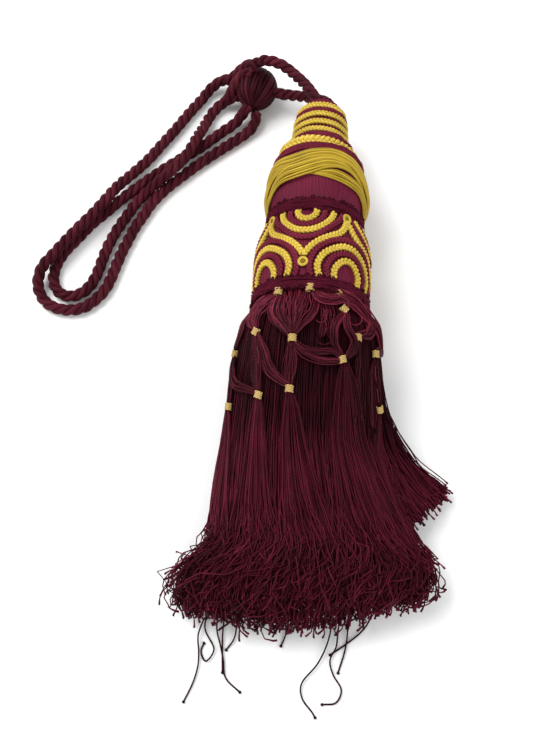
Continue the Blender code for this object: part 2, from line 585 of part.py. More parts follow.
class Net:
    """A closed mesh of tied knots joined by yarn bundles, hung from one band."""

    def __init__(self):
        self.bm = bmesh.new()

    def knot(self, angle, y):
        """A ridged knot; its four open faces take two bundles above and two below."""
        out = (on_envelope(angle, y, NET_LIFT + 1) - on_envelope(angle, y, NET_LIFT)).normalized()
        across = Vector((out.z, 0.0, -out.x))
        middle = on_envelope(angle, y, NET_LIFT)
        rows = []
        for drop, swell in ((0.5, KNOT_SHOULDER), (0.0, 1.0), (-0.5, KNOT_SHOULDER)):
            row = []
            for side, deep in ((-1, -1), (0, -1), (1, -1), (1, 1), (0, 1), (-1, 1)):
                place = middle + across * side * KNOT_SIZE / 2 * swell
                place += out * deep * BUNDLE * KNOT_FLAT / 2 * swell
                row.append(self.bm.verts.new(place + Vector((0.0, drop * KNOT_SIZE, 0.0))))
            rows.append(row)
        for high, low in zip(rows, rows[1:]):
            for k in range(6):
                n = (k + 1) % 6
                self.bm.faces.new((high[k], high[n], low[n], low[k]))
        return {"up_left": self.half(rows[0], 0), "up_right": self.half(rows[0], 1),
                "down_left": self.half(rows[2], 0), "down_right": self.half(rows[2], 1)}

    @staticmethod
    def half(row, right):
        """The four corners of a knot's left or right half."""
        return [row[1], row[2], row[3], row[4]] if right else [row[0], row[1], row[4], row[5]]

    def bundle(self, start, begin, end, finish, steps):
        """A four-sided bundle from one open face to another; without an end it tapers to a tip."""
        ring = start
        turn = short_way(begin[0], finish[0])
        run = on_envelope(turn, finish[1], NET_LIFT) - on_envelope(begin[0], begin[1], NET_LIFT)
        for k in range(1, steps):
            share = k / steps
            angle = begin[0] + (turn - begin[0]) * share
            y = begin[1] + (finish[1] - begin[1]) * share
            out = (on_envelope(angle, y, NET_LIFT + 1) - on_envelope(angle, y, NET_LIFT)).normalized()
            across = out.cross(run).normalized()
            middle = on_envelope(angle, y, NET_LIFT)
            fresh = []
            for side, deep in ((-1, -1), (1, -1), (1, 1), (-1, 1)):
                place = middle + across * side * BUNDLE / 2 + out * deep * BUNDLE * BUNDLE_FLAT / 2
                fresh.append(self.bm.verts.new(place))
            self.join(ring, fresh)
            ring = fresh
        if end:
            self.join(ring, end)
            return
        tip = self.bm.verts.new(on_envelope(turn, finish[1], NET_LIFT - TAIL_DROOP))
        for a in range(4):
            self.bm.faces.new((ring[a], ring[(a + 1) % 4], tip))

    def join(self, ring, fresh):
        """Four faces from one square ring to the next."""
        for a in range(4):
            b = (a + 1) % 4
            self.bm.faces.new((ring[a], ring[b], fresh[b], fresh[a]))


def net_band(work):
    """The band that carries the net; returns each column's open faces, left and right."""
    section = ((SKIRT_ROOT, BAND_INNER), (SKIRT_ROOT, BAND_OUTER),
               (BACKING_TOP, BAND_OUTER), (BACKING_TOP, BAND_INNER))
    marks, openings = [], []
    for column in NET_COLUMNS:
        marks += [column - BUNDLE_TURN, column, column + BUNDLE_TURN]
    loops = []
    for mark in marks:
        loops.append([work.bm.verts.new(on_head(mark, y, radius)) for y, radius in section])
    for k, here in enumerate(loops):
        there = loops[(k + 1) % len(loops)]
        for a in range(4):
            b = (a + 1) % 4
            corners = (here[a], here[b], there[b], there[a])
            if a == 0 and k % 3 < 2:
                openings.append([here[0], there[0], there[1], here[1]])
            else:
                work.bm.faces.new(corners)
    return list(zip(openings[0::2], openings[1::2]))


def net():
    """Two rows of tied knots under a band, all one piece of netting."""
    work = Net()
    heads = net_band(work)
    columns = len(NET_COLUMNS)
    second = [work.knot(angle, y) for angle, y in SECOND_ROW]
    third = [work.knot(angle, y) for angle, y in THIRD_ROW]
    for n in range(columns):
        m = (n + 1) % columns
        steps = COLUMN_STEPS if abs(NET_COLUMNS[n]) < 90 else COLUMN_STEPS // 2
        left_start = (NET_COLUMNS[n] + BUNDLE_TURN / 2, SKIRT_ROOT)
        right_start = (NET_COLUMNS[m] - BUNDLE_TURN / 2, SKIRT_ROOT)
        work.bundle(heads[n][1], left_start, second[n]["up_left"], beside(SECOND_ROW[n], -1, 1), steps)
        work.bundle(heads[m][0], right_start, second[n]["up_right"], beside(SECOND_ROW[n], 1, 1), steps)
        work.bundle(second[n]["down_right"], beside(SECOND_ROW[n], 1, -1),
                    third[n]["up_left"], beside(THIRD_ROW[n], -1, 1), steps)
        work.bundle(second[m]["down_left"], beside(SECOND_ROW[m], -1, -1),
                    third[n]["up_right"], beside(THIRD_ROW[n], 1, 1), steps)
        for side, hand in (("down_left", -1), ("down_right", 1)):
            start = beside(THIRD_ROW[n], hand, -1)
            work.bundle(third[n][side], start, None, (start[0] + hand * TAIL_SWAY, start[1] - TAIL), 2)
    return add_piece("net", work.bm, BURGUNDY)


def beside(place, hand, above):
    """The middle of a knot's open face: hand is -1 left or 1 right, above is 1 or -1."""
    return (place[0] + hand * HALF_KNOT_TURN, place[1] + above * KNOT_SIZE / 2)


def short_way(start, angle):
    """An angle taken the short way round from the start."""
    return start + (angle - start + 180.0) % 360.0 - 180.0


def main():
    clear_scene()
    turned_solid("cap", CAP_PROFILE, BURGUNDY)
    for name, y, radius, half_width, half_height in GOLD_RINGS:
        cord_ring(name, y, radius + GAP, half_width, half_height, GOLD)
    turned_solid("bell", BELL_PROFILE, SATIN)
    for wrap in WRAPS:
        wrap_band(*wrap)
    cord_ring("waist_gimp", WAIST_MIDDLE, WAIST_RADIUS, WAIST_HALF, 1.3, DARK, sides=6, steps=28)
    turned_solid("drum", DRUM_PROFILE, SATIN)
    drum_trimmings()
    base_gimp()
    skirt()
    net()
    rope("loop_outer", LOOP_OUTER)
    rope("loop_inner", LOOP_INNER)
    rope("neck_over", NECK_OVER)
    rope("neck_under", NECK_UNDER)
    rope_knot()


main()
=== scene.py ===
import math

import bmesh
import bpy
import numpy as np
from mathutils import Matrix, Vector


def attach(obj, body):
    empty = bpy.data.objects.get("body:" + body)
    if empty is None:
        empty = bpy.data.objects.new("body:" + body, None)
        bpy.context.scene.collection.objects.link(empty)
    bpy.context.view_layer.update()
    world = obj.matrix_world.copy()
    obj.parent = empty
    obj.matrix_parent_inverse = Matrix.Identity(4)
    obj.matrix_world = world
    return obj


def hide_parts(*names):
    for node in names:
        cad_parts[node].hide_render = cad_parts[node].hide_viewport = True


# Looks of a curtain tieback tassel that lies on its side on a table. Sizes are in millimetres and
# angles in degrees unless a name says otherwise; meshes are turned into metres as they are made.
# The head's axis runs along Y, AXIS_HEIGHT above the table. An angle round it is 0 on top and +90
# on the right, towards +X. The skirt spreads towards -Y.

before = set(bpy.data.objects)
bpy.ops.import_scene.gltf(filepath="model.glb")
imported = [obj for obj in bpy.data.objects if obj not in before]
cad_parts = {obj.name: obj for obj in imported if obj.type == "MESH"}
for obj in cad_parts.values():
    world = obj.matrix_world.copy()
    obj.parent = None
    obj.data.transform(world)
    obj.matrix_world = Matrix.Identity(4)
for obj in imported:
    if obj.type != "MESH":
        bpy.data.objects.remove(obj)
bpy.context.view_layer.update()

MM = 0.001
AXIS_HEIGHT = 35.0
TABLE_CLEARANCE = 0.05       # lowest that any thread lies above the table
# sides of the tubes that yarns are made of, and steps round the turned pieces
SMALL_SIDES = 5
PLAIT_SIDES = 6
WRAP_SIDES = 8
KNOT_SIDES = 9
ROPE_SIDES = 10
CAP_STEPS = 64
HEAD_STEPS = 96
PLAIT_RISE = 0.8             # how far a plait's strands climb over each other, in strand radii
# a plait's tone, how much brighter it is painted where a strand climbs (painted highlight, with painted
# shade where it dips under), and its slow drift along the plait
PLAIT_TONE = 0.48
PLAIT_PAINTED_LIGHT = 0.42
PLAIT_DRIFT = 0.08
PLAIT_PACE = 0.9             # turn of that drift for each millimetre


# ---- lines ----
def smooth_line(points, step):
    """Even points, about a step apart, along a smooth curve through the given points."""
    stops = np.array(points, dtype=float)
    stops = np.vstack([2 * stops[0] - stops[1], stops, 2 * stops[-1] - stops[-2]])
    t = np.linspace(0.0, 1.0, 16, endpoint=False)[:, None]
    dense = []
    for a, b, c, d in zip(stops, stops[1:], stops[2:], stops[3:]):
        dense.append(0.5 * (2 * b + (c - a) * t + (2 * a - 5 * b + 4 * c - d) * t ** 2
                            + (3 * b - a - 3 * c + d) * t ** 3))
    dense = np.vstack(dense + [stops[-2:-1]])
    run = run_along(dense)
    goals = np.linspace(0.0, run[-1], max(2, round(run[-1] / step)) + 1)
    return np.column_stack([np.interp(goals, run, column) for column in dense.T])


def run_along(line):
    """Length from a line's start to each of its points."""
    return np.concatenate([[0.0], np.cumsum(np.linalg.norm(np.diff(line, axis=0), axis=1))])


def unit(vectors):
    return vectors / np.linalg.norm(vectors, axis=-1, keepdims=True)


def ahead_along(line):
    return unit(np.gradient(line, axis=0))


def carried_frame(line):
    """Directions across and out of a line that turn as little as they can along it."""
    ahead = ahead_along(line)
    across = np.empty_like(line)
    side = unit(np.cross(ahead[0], (0.0, 0.0, 1.0)))
    for k, way in enumerate(ahead):
        side = unit(side - way * side.dot(way))
        across[k] = side
    return across, np.cross(ahead, across)


def on_head(angle, y, radius):
    """Points at an angle round the head's axis."""
    a = np.radians(angle)
    return np.stack([radius * np.sin(a), y + 0.0 * a, AXIS_HEIGHT + radius * np.cos(a)], axis=-1)


def out_of_head(angle):
    a = np.radians(angle)
    return np.stack([np.sin(a), 0.0 * a, np.cos(a)], axis=-1)


def profile_radius(profile, y):
    """Radius of a turned profile, given as rows of y and radius from the neck down."""
    ys, radii = np.array(profile[::-1]).T
    return np.interp(y, ys, radii)


def around(table, angles):
    """Columns of a closed table of rows that start with an angle, smoothly read at any angles."""
    rows = np.array(table, dtype=float)
    first = rows[:, 0]
    wrapped = np.concatenate([first[-2:] - 360.0, first, first[:2] + 360.0])
    columns = []
    for column in rows.T[1:]:
        values = np.concatenate([column[-2:], column, column[:2]])
        columns.append(smooth_read(wrapped, values, (angles - first[0]) % 360.0 + first[0]))
    return columns


def smooth_read(places, values, where):
    """Read a table between its rows along a smooth curve."""
    slopes = np.gradient(values, places)
    k = np.clip(np.searchsorted(places, where) - 1, 0, len(places) - 2)
    width = places[k + 1] - places[k]
    t = (where - places[k]) / width
    return ((2 * t ** 3 - 3 * t ** 2 + 1) * values[k] + (t ** 3 - 2 * t ** 2 + t) * width * slopes[k]
            + (3 * t ** 2 - 2 * t ** 3) * values[k + 1] + (t ** 3 - t ** 2) * width * slopes[k + 1])


# ---- pieces ----
def add(name, data):
    """A new object in the scene for a mesh, curve, lamp or camera."""
    item = bpy.data.objects.new(name, data)
    bpy.context.scene.collection.objects.link(item)
    return item


def mesh_from(name, bm):
    mesh = bpy.data.meshes.new(name)
    bm.to_mesh(mesh)
    bm.free()
    return mesh


def place_mesh(name, mesh, yarn, *nodes):
    """A finished piece, kept above the table: it rides on the tassel, and stands for its nodes."""
    finish, slot = yarn
    places = np.empty(len(mesh.vertices) * 3)
    mesh.vertices.foreach_get("co", places)
    places[2::3] = np.maximum(places[2::3], TABLE_CLEARANCE * MM)
    mesh.vertices.foreach_set("co", places)
    mesh.materials.clear()
    mesh.materials.append(finish)
    mesh.shade_smooth()
    mesh.update()
    piece = add(name, mesh)
    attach(piece, "root")
    if nodes:
        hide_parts(*nodes)
    return piece


def section(sides):
    """A round section for tubes, of a unit radius."""
    curve = bpy.data.curves.new("section", "CURVE")
    spline = curve.splines.new("POLY")
    spline.points.add(sides - 1)
    for k in range(sides):
        turn = math.tau * k / sides
        spline.points[k].co = (math.cos(turn), math.sin(turn), 0.0, 1.0)
    spline.use_cyclic_u = True
    return add("section", curve)


def tubes(name, lines, radius, sides, yarn, tones, *nodes, taper=1.0):
    """A finished piece of yarn, with a tube along each line.

    Each point keeps where it lies on its thread, as the cosine and sine of its turn round the
    thread and the length along it, and a tone: one for a whole line, or one for each of its points.
    """
    profile = section(sides)
    curve = bpy.data.curves.new(name, "CURVE")
    curve.dimensions = "3D"
    curve.bevel_mode = "OBJECT"
    curve.bevel_object = profile
    places = []
    thread_tones = []
    turns = math.tau * np.arange(sides) / sides
    for line, tone in zip(lines, tones):
        spline = curve.splines.new("POLY")
        spline.points.add(len(line) - 1)
        spline.points.foreach_set("co", np.column_stack([line, np.ones(len(line))]).ravel())
        spline.points.foreach_set("radius", np.full(len(line), radius) * taper)
        along = np.repeat(run_along(line), sides)
        round_it = np.tile(turns, len(line))
        places.append(np.column_stack([np.cos(round_it), np.sin(round_it), along]))
        thread_tones.append(np.repeat(np.broadcast_to(tone, len(line)), sides))
    drawn = add(name, curve)
    shown = drawn.evaluated_get(bpy.context.evaluated_depsgraph_get())
    mesh = bpy.data.meshes.new_from_object(shown)
    bpy.data.objects.remove(drawn)
    bpy.data.objects.remove(profile)
    mesh.transform(Matrix.Scale(MM, 4))
    lay = mesh.attributes.new("lay", "FLOAT_VECTOR", "POINT")
    lay.data.foreach_set("vector", np.vstack(places).ravel())
    shade = mesh.attributes.new("tone", "FLOAT", "POINT")
    shade.data.foreach_set("value", np.concatenate(thread_tones))
    mesh.name = name
    close_ends(mesh, sides)
    return place_mesh(name, mesh, yarn, *nodes)


def close_ends(mesh, sides):
    """Fill the open ends of tubes and turn their faces outwards."""
    bm = bmesh.new()
    bm.from_mesh(mesh)
    rims = [edge for edge in bm.edges if edge.is_boundary]
    bmesh.ops.holes_fill(bm, edges=rims, sides=sides)
    bmesh.ops.recalc_face_normals(bm, faces=bm.faces[:])
    bm.to_mesh(mesh)
    bm.free()


def turned(name, profile, steps, yarn, node):
    """A closed turned piece round the head's axis, from rows of y and radius."""
    bm = bmesh.new()
    rows = [(profile[0][0], 0.0)] + list(profile) + [(profile[-1][0], 0.0)]
    verts = [bm.verts.new((0.0, y, radius)) for y, radius in rows]
    edges = [bm.edges.new(pair) for pair in zip(verts, verts[1:])]
    bmesh.ops.spin(bm, geom=verts + edges, cent=(0, 0, 0), axis=(0, 1, 0), angle=math.tau,
                   steps=steps, use_merge=True)
    bmesh.ops.remove_doubles(bm, verts=bm.verts, dist=1e-3)
    bmesh.ops.recalc_face_normals(bm, faces=bm.faces)
    bmesh.ops.translate(bm, vec=(0.0, 0.0, AXIS_HEIGHT), verts=bm.verts)
    bmesh.ops.scale(bm, vec=(MM, MM, MM), verts=bm.verts)
    place_mesh(name, mesh_from(name, bm), yarn, node)


def plait(line, out, width, strand, pitch, start=0.0):
    """Lines and tones of a flat plait's three strands, with light painted where a strand climbs and shade
    where it dips; out points away from what it lies on.
    """
    run = run_along(line)
    across = unit(np.cross(ahead_along(line), out))
    strands, tones = [], []
    for k in range(3):
        turn = math.tau * (run / pitch + k / 3 + start)
        sway = (width / 2 - strand) * np.sin(turn)
        climb = np.sin(2 * turn)
        strands.append(line + across * sway[:, None] + out * (PLAIT_RISE * strand * climb)[:, None])
        # painted highlight where a strand climbs, painted shade where it dips under another
        tones.append(PLAIT_TONE + PLAIT_PAINTED_LIGHT * climb + PLAIT_DRIFT * np.sin(run * PLAIT_PACE + 2 * k))
    return strands, tones


# ---- materials ----
class Value:
    """An output in a material, which can stand in sums, differences and products."""

    def __init__(self, finish, socket):
        self.finish = finish
        self.socket = socket

    def __add__(self, other):
        return self.finish.maths("ADD", self, other)

    def __sub__(self, other):
        return self.finish.maths("SUBTRACT", self, other)

    def __mul__(self, other):
        return self.finish.maths("MULTIPLY", self, other)


class Finish:
    """A material that is built by naming its nodes."""

    def __init__(self, name, **constants):
        self.material = bpy.data.materials.new(name)
        self.material.use_nodes = True
        self.tree = self.material.node_tree
        self.shader = self.tree.nodes["Principled BSDF"]
        for socket, value in constants.items():
            self.shader.inputs[socket.replace("_", " ")].default_value = value

    def node(self, kind, output=0, settings=None, **values):
        """A node of any kind: its settings first, then a value or a link for each named socket."""
        made = self.tree.nodes.new(kind)
        for setting, value in (settings or {}).items():
            setattr(made, setting, value)
        for socket, value in values.items():
            key = int(socket[1:]) if socket[0] == "_" else socket.replace("_", " ")
            self.feed(made.inputs[key], value)
        return Value(self, made.outputs[output])

    def feed(self, socket, value):
        if isinstance(value, Value):
            self.tree.links.new(value.socket, socket)
        else:
            socket.default_value = value

    def maths(self, operation, first, second=0.0):
        return self.node("ShaderNodeMath", settings={"operation": operation}, _0=first, _1=second)

    def sine(self, value):
        return self.maths("SINE", value)

    def colour_mix(self, share, first, second):
        settings = {"data_type": "RGBA"}
        return self.node("ShaderNodeMix", output=2, settings=settings, _0=share, _6=first, _7=second)

    def attribute(self, name, output):
        return self.node("ShaderNodeAttribute", output=output, settings={"attribute_name": name})

    def noise(self, scale):
        place = self.node("ShaderNodeTexCoord", output="Object")
        return self.node("ShaderNodeTexNoise", Vector=place, Scale=scale, Detail=3.0)

    def parts(self, vector):
        """The three parts of a vector."""
        split = self.node("ShaderNodeSeparateXYZ", _0=vector).socket.node
        return [Value(self, output) for output in split.outputs]

    def to_shader(self, colour, roughness, height, depth):
        self.feed(self.shader.inputs["Base Color"], colour)
        self.feed(self.shader.inputs["Roughness"], roughness)
        bump = self.node("ShaderNodeBump", Strength=1.0, Distance=depth * MM, Height=height)
        self.feed(self.shader.inputs["Normal"], bump)
        return self.material


PATCH_SCALE = 60.0           # of the slow changes of colour along and across the threads
# how much of a yarn's shade comes from its thread's tone and from those changes, less a little
SHADE_TONE = 0.75
SHADE_PATCH = 0.5
SHADE_LESS = 0.12
CREASE_PAINTED_SHADE_KEEP = 0.55          # share of its colour that a yarn keeps in the creases between plies, where shade is painted
PATCH_ROUGHNESS = 0.2        # how much the roughness differs from patch to patch


def spun(slot, name, dark, middle, light, plies, slant, depth, roughness, gloss):
    """A yarn's material and slot: plies that wind round each tube, and a tone for each thread.

    The colours go from the creases, where shade is painted in, to the brightest threads. The plies lie side
    by side round a thread, slant is their turns for each millimetre, and depth is how far they stand out.
    """
    finish = Finish(name, Specular_IOR_Level=gloss)
    dark, middle, light = (colour + (1.0,) for colour in (dark, middle, light))
    cosine, sine, along = finish.parts(finish.attribute("lay", "Vector"))
    turn = finish.maths("ARCTAN2", sine, cosine)
    ridges = finish.sine(turn * plies - along * (math.tau * slant)) * 0.5 + 0.5
    tone = finish.attribute("tone", "Fac")
    patches = finish.noise(PATCH_SCALE)
    shade = tone * SHADE_TONE + patches * SHADE_PATCH - SHADE_LESS
    low = finish.colour_mix(shade, dark, middle)
    body = finish.colour_mix(shade * shade, low, light)
    # painted shade in the creases between plies
    colour = finish.colour_mix(ridges * (1.0 - CREASE_PAINTED_SHADE_KEEP) + CREASE_PAINTED_SHADE_KEEP, dark, body)
    roughness = patches * PATCH_ROUGHNESS + (roughness - PATCH_ROUGHNESS / 2)
    return finish.to_shader(colour, roughness, ridges, depth), slot


ROPE_SILK = spun(
    "burgundy_rope", "burgundy_rope_silk",
    (0.005, 0.0002, 0.0008), (0.042, 0.0017, 0.006), (0.235, 0.036, 0.060),
    plies=9, slant=0.10, depth=0.12, roughness=0.48, gloss=0.05)
SKIRT_SILK = spun(
    "burgundy_yarn", "burgundy_skirt_thread",
    (0.012, 0.0004, 0.002), (0.076, 0.004, 0.013), (0.165, 0.015, 0.038),
    plies=2, slant=0.55, depth=0.05, roughness=0.55, gloss=0.08)
NET_SILK = spun(
    "burgundy_yarn", "burgundy_net_yarn",
    (0.015, 0.0006, 0.002), (0.098, 0.005, 0.017), (0.300, 0.033, 0.066),
    plies=2, slant=0.50, depth=0.05, roughness=0.50, gloss=0.12)
GIMP_SILK = spun(
    "burgundy_gimp", "burgundy_gimp",
    (0.022, 0.0008, 0.003), (0.112, 0.007, 0.020), (0.270, 0.034, 0.066),
    plies=5, slant=0.22, depth=0.12, roughness=0.65, gloss=0.04)
CROCHET_SILK = spun(
    "burgundy_gimp", "burgundy_crochet",
    (0.012, 0.001, 0.003), (0.065, 0.004, 0.013), (0.180, 0.018, 0.045),
    plies=5, slant=0.25, depth=0.12, roughness=0.70, gloss=0.03)
GOLD_GIMP = spun(
    "gold_gimp", "gold_gimp",
    (0.085, 0.030, 0.001), (0.610, 0.370, 0.011), (1.000, 0.780, 0.140),
    plies=5, slant=0.22, depth=0.12, roughness=0.50, gloss=0.14)
GOLD_CORD = spun(
    "gold_gimp", "gold_wound_cord",
    (0.110, 0.062, 0.002), (0.575, 0.375, 0.012), (0.960, 0.720, 0.080),
    plies=3, slant=1.1, depth=0.04, roughness=0.46, gloss=0.18)
GOLD_BINDING = spun(
    "gold_gimp", "gold_binding",
    (0.200, 0.090, 0.010), (0.520, 0.340, 0.060), (0.900, 0.720, 0.330),
    plies=3, slant=1.1, depth=0.04, roughness=0.42, gloss=0.30)

SATIN_THREADS = 230.0        # ridges for each radian round the head
SATIN_STREAKS = 60.0
SATIN_PATCHES = 90.0
SATIN_DARK = (0.036, 0.0012, 0.007, 1)
SATIN_LIGHT = (0.270, 0.022, 0.068, 1)


def satin_ground():
    """The satin's material and slot: fine threads side by side along the head, with a soft sheen."""
    finish = Finish("burgundy_satin_ground", Specular_IOR_Level=0.08)
    across, _, height = finish.parts(finish.node("ShaderNodeTexCoord", output="Object"))
    turn = finish.maths("ARCTAN2", across, height - AXIS_HEIGHT * MM)
    wander = finish.noise(SATIN_PATCHES)
    ridges = finish.sine(turn * SATIN_THREADS + wander * 9.0) * 0.5 + 0.5
    place = finish.node("ShaderNodeCombineXYZ", X=turn * SATIN_STREAKS, Y=0.0, Z=0.0)
    streaks = finish.node("ShaderNodeTexNoise", settings={"noise_dimensions": "2D"}, Vector=place,
                          Scale=1.0, Detail=4.0)
    # the ridges also paint shade into the grooves between the satin's threads
    shade = ridges * 0.45 + streaks * 1.5 + wander * 0.3 - 0.78
    colour = finish.colour_mix(shade, SATIN_DARK, SATIN_LIGHT)
    return finish.to_shader(colour, wander * 0.2 + 0.38, ridges, 0.12), "burgundy_satin"


SATIN = satin_ground()


# ---- camera, table and light ----
CAMERA_TILT = 70.0           # down from level
CAMERA_SWING = -4.0          # to the left of +Y
CAMERA_DISTANCE = 490.0
CAMERA_TARGET = (-18.3, -25.0, 0.0)
CAMERA_LENS = 39.98
TABLE_HALF = 4.0             # half width of the table top, in metres
TABLE_TONE = (0.93, 0.93, 0.93, 1)
ROOM_LIGHT = 0.66
# lamps: name, place in metres, size in metres, watts
LAMPS = [("key_lamp", (-0.75, 0.35, 1.25), 0.9, 19.0), ("fill_lamp", (0.95, -0.55, 1.1), 0.9, 7.0)]


def camera():
    """Looks down on the tassel from beyond the skirt's ends."""
    tilt = math.radians(CAMERA_TILT)
    swing = math.radians(CAMERA_SWING)
    look = Vector((math.cos(tilt) * math.sin(swing), math.cos(tilt) * math.cos(swing), -math.sin(tilt)))
    data = bpy.data.cameras.new("camera")
    data.sensor_width = 36.0
    data.lens = CAMERA_LENS
    data.dof.use_dof = False
    item = add("camera", data)
    item.location = Vector(CAMERA_TARGET) * MM - look * CAMERA_DISTANCE * MM
    item.rotation_euler = look.to_track_quat("-Z", "Y").to_euler()
    bpy.context.scene.camera = item


def table():
    bm = bmesh.new()
    bmesh.ops.create_grid(bm, x_segments=1, y_segments=1, size=TABLE_HALF)
    mesh = mesh_from("table_top", bm)
    finish = Finish("pale_table", Base_Color=TABLE_TONE, Roughness=0.9, Specular_IOR_Level=0.1)
    mesh.materials.append(finish.material)
    add("table_top", mesh)


def soft_light():
    world = bpy.data.worlds.new("soft_room")
    world.use_nodes = True
    background = world.node_tree.nodes["Background"]
    background.inputs["Color"].default_value = (1.0, 1.0, 1.0, 1.0)
    background.inputs["Strength"].default_value = ROOM_LIGHT
    bpy.context.scene.world = world
    for name, place, size, power in LAMPS:
        light = bpy.data.lights.new(name, "AREA")
        light.size = size
        light.energy = power
        item = add(name, light)
        item.location = place
        item.rotation_euler = (-Vector(place)).to_track_quat("-Z", "Y").to_euler()
    bpy.context.scene.view_settings.view_transform = "Standard"


camera()
table()
soft_light()


# ---- rope ----
ROPE_DIAMETER = 7.4
STRAND_RADIUS = 1.75
ROPE_PITCH = 18.6            # length in which a strand goes once round, laid left-handed
ROPE_STEP = 1.25             # length between the points along a rope
ROPE_TONES = [0.4, 0.55, 0.5]            # of the three strands
ROPE_REST = 3.8              # height of the rope's middle where it rests on the table
# routes of the rope's four lengths: x and y, and a height where it doesn't rest on the table
ROPES = {
    "loop_outer": [
        (-57.6, 169.5, 13.4), (-63, 173.2, 12), (-68, 174, 9.5), (-73, 172.5, 6.5), (-77.5, 168.5, 4.3),
        (-81, 162.5), (-88.5, 150.5), (-96.5, 136.5), (-104.5, 123.5), (-112, 111.5), (-121, 98.5, 5.5),
        (-127.5, 87.5, 9), (-133, 76.5, 11), (-139.5, 65.5, 11.2), (-147, 55, 11.2), (-154, 44.5, 11.2),
        (-160, 35, 11.2), (-165, 27.5, 10.5), (-167.5, 20.5, 8), (-167, 13.5, 5.3), (-162.5, 6.5, 4.1),
        (-155.5, 2.5), (-147, 1.5), (-138.5, 3.5), (-131.5, 9.5), (-126.5, 17), (-123.9, 25.1),
        (-121.8, 34.2), (-119.6, 43.3), (-116.7, 52.4), (-113.8, 61), (-109.8, 69.6), (-105.8, 78.2),
        (-100.9, 86.1), (-95.1, 93.5), (-88.4, 100.5), (-78.2, 110.8), (-66.2, 121.8), (-54, 132.4),
        (-47.1, 138.9, 4.3), (-43.8, 144, 6.2), (-42.7, 150.4, 8.9)],
    "loop_inner": [
        (-49.6, 152, 10.1), (-56.5, 144, 5.3), (-65, 137, 3.9), (-73, 129), (-81, 121.5), (-90.5, 114),
        (-100.5, 105.5), (-110, 96.5), (-118.5, 88), (-126.5, 79.5), (-133.5, 71), (-141.5, 62),
        (-148.5, 51.5), (-155.5, 41), (-159, 32), (-159.8, 24), (-158, 17), (-154, 12.5), (-148.5, 10.7),
        (-143, 12), (-138.5, 15.5), (-134.8, 21.6), (-132.7, 28.7), (-131.1, 36.8), (-129.3, 45.4),
        (-126.4, 54.5), (-122.9, 63.1), (-118.9, 71.6), (-114.5, 80.1, 3.9), (-109, 86.9, 5),
        (-102, 93, 8.5), (-95.5, 98.5, 11), (-89, 106, 11.8), (-84, 115, 12), (-80.5, 125, 11.4),
        (-78, 135.5, 7.2), (-75.5, 145.5, 4.1), (-72.5, 152.5), (-68, 158, 4.6), (-63, 161, 6.5),
        (-56.3, 162.2, 9.4)],
    "neck_over": [
        (-4.3, 138.8, 36.2), (-4.8, 143, 36.4), (-8.5, 150.5, 34.6), (-13.5, 159.5, 31), (-21.5, 170, 27.4),
        (-27, 174.8, 26.8), (-32.6, 177.4, 26.8), (-38.1, 177.8, 27.4), (-42.1, 176.2, 28.1),
        (-44.8, 173.6, 28.6)],
    "neck_under": [
        (4.5, 138.6, 33.2), (3.8, 142.6, 32.6), (-2, 148.2, 28.2), (-8.5, 154, 22.8), (-15.5, 158.2, 18.2),
        (-22.5, 160.7, 15.6), (-29, 161.6, 14.6)]}


def rope_line(route):
    """A smooth line along a route, whose points without a height rest on the table."""
    return smooth_line([(*point, ROPE_REST)[:3] for point in route], ROPE_STEP)


def laid_strands(line):
    """Lines of the three strands that are laid round a rope's line."""
    across, up = carried_frame(line)
    run = run_along(line)
    strands = []
    for k in range(3):
        turn = math.tau * (k / 3 - run / ROPE_PITCH)
        around_line = across * np.cos(turn)[:, None] + up * np.sin(turn)[:, None]
        strands.append(line + around_line * (ROPE_DIAMETER / 2 - STRAND_RADIUS))
    return strands


def laid_rope(node, route):
    line = rope_line(route)
    strands = laid_strands(line)
    piece = tubes(node + "_rope", strands, STRAND_RADIUS, ROPE_SIDES, ROPE_SILK, ROPE_TONES, node)


def ropes():
    for node, route in ROPES.items():
        laid_rope(node, route)


ropes()


# ---- wound knot ----
KNOT_CENTRE = np.array([-43.7, 165.8, 13.4])
KNOT_HALF = np.array([13.6, 12.2, 11.4])        # half length, width and height inside its strands
KNOT_TURN = 76.0             # the line between the winding's two ends, in plan, from +X
KNOT_STRAND = 1.25           # radius of one turn's strand
KNOT_TURNS = 16
KNOT_UNEVEN = 0.22           # how far a turn lies off its even place, in gaps between turns
KNOT_SWAY = 0.1              # how far a turn's far end lies off its near end, in radians
KNOT_EYE = 0.12              # size of the eye where the turns pass each other, as a share
KNOT_BEND_TONES = [0.4, 0.6, 0.5]
# ropes that leave the ball's left side under the upper cord, and the small bend at its foot
KNOT_BENDS = [
    [(-45.5, 169, 25), (-46.8, 173.4, 27.2), (-50.4, 175.4, 24.6), (-55, 175, 20), (-59.5, 173.4, 15.4),
     (-64, 172.4, 11)],
    [(-46, 168, 24.6), (-51, 171.2, 22.6), (-56, 168.4, 18.8), (-59.2, 164.6, 15), (-61.8, 161.4, 10.6),
     (-64, 159.6, 6.4)],
    [(-25.5, 161.2, 15.2), (-29, 162.2, 14.9), (-33, 163.4, 15.6), (-37, 164, 16.5)],
    [(-46.5, 152.6, 12), (-50.5, 151, 10.5), (-53, 148, 6.8)]]


def knot_turn(share, sway):
    """One turn of strand over both ends of the ball, at a share of half the way round it."""
    along = np.linspace(0.0, math.tau, 49)
    tilt = math.pi * share + sway * np.cos(along)
    local = np.stack([np.cos(along), np.sin(along) * np.cos(tilt) - KNOT_EYE * np.sin(tilt),
                      np.sin(along) * np.sin(tilt) + KNOT_EYE * np.cos(tilt)], axis=-1) * KNOT_HALF
    turn = math.radians(KNOT_TURN)
    return KNOT_CENTRE + np.stack([local[:, 0] * math.cos(turn) - local[:, 1] * math.sin(turn),
                                   local[:, 0] * math.sin(turn) + local[:, 1] * math.cos(turn),
                                   local[:, 2]], axis=-1)


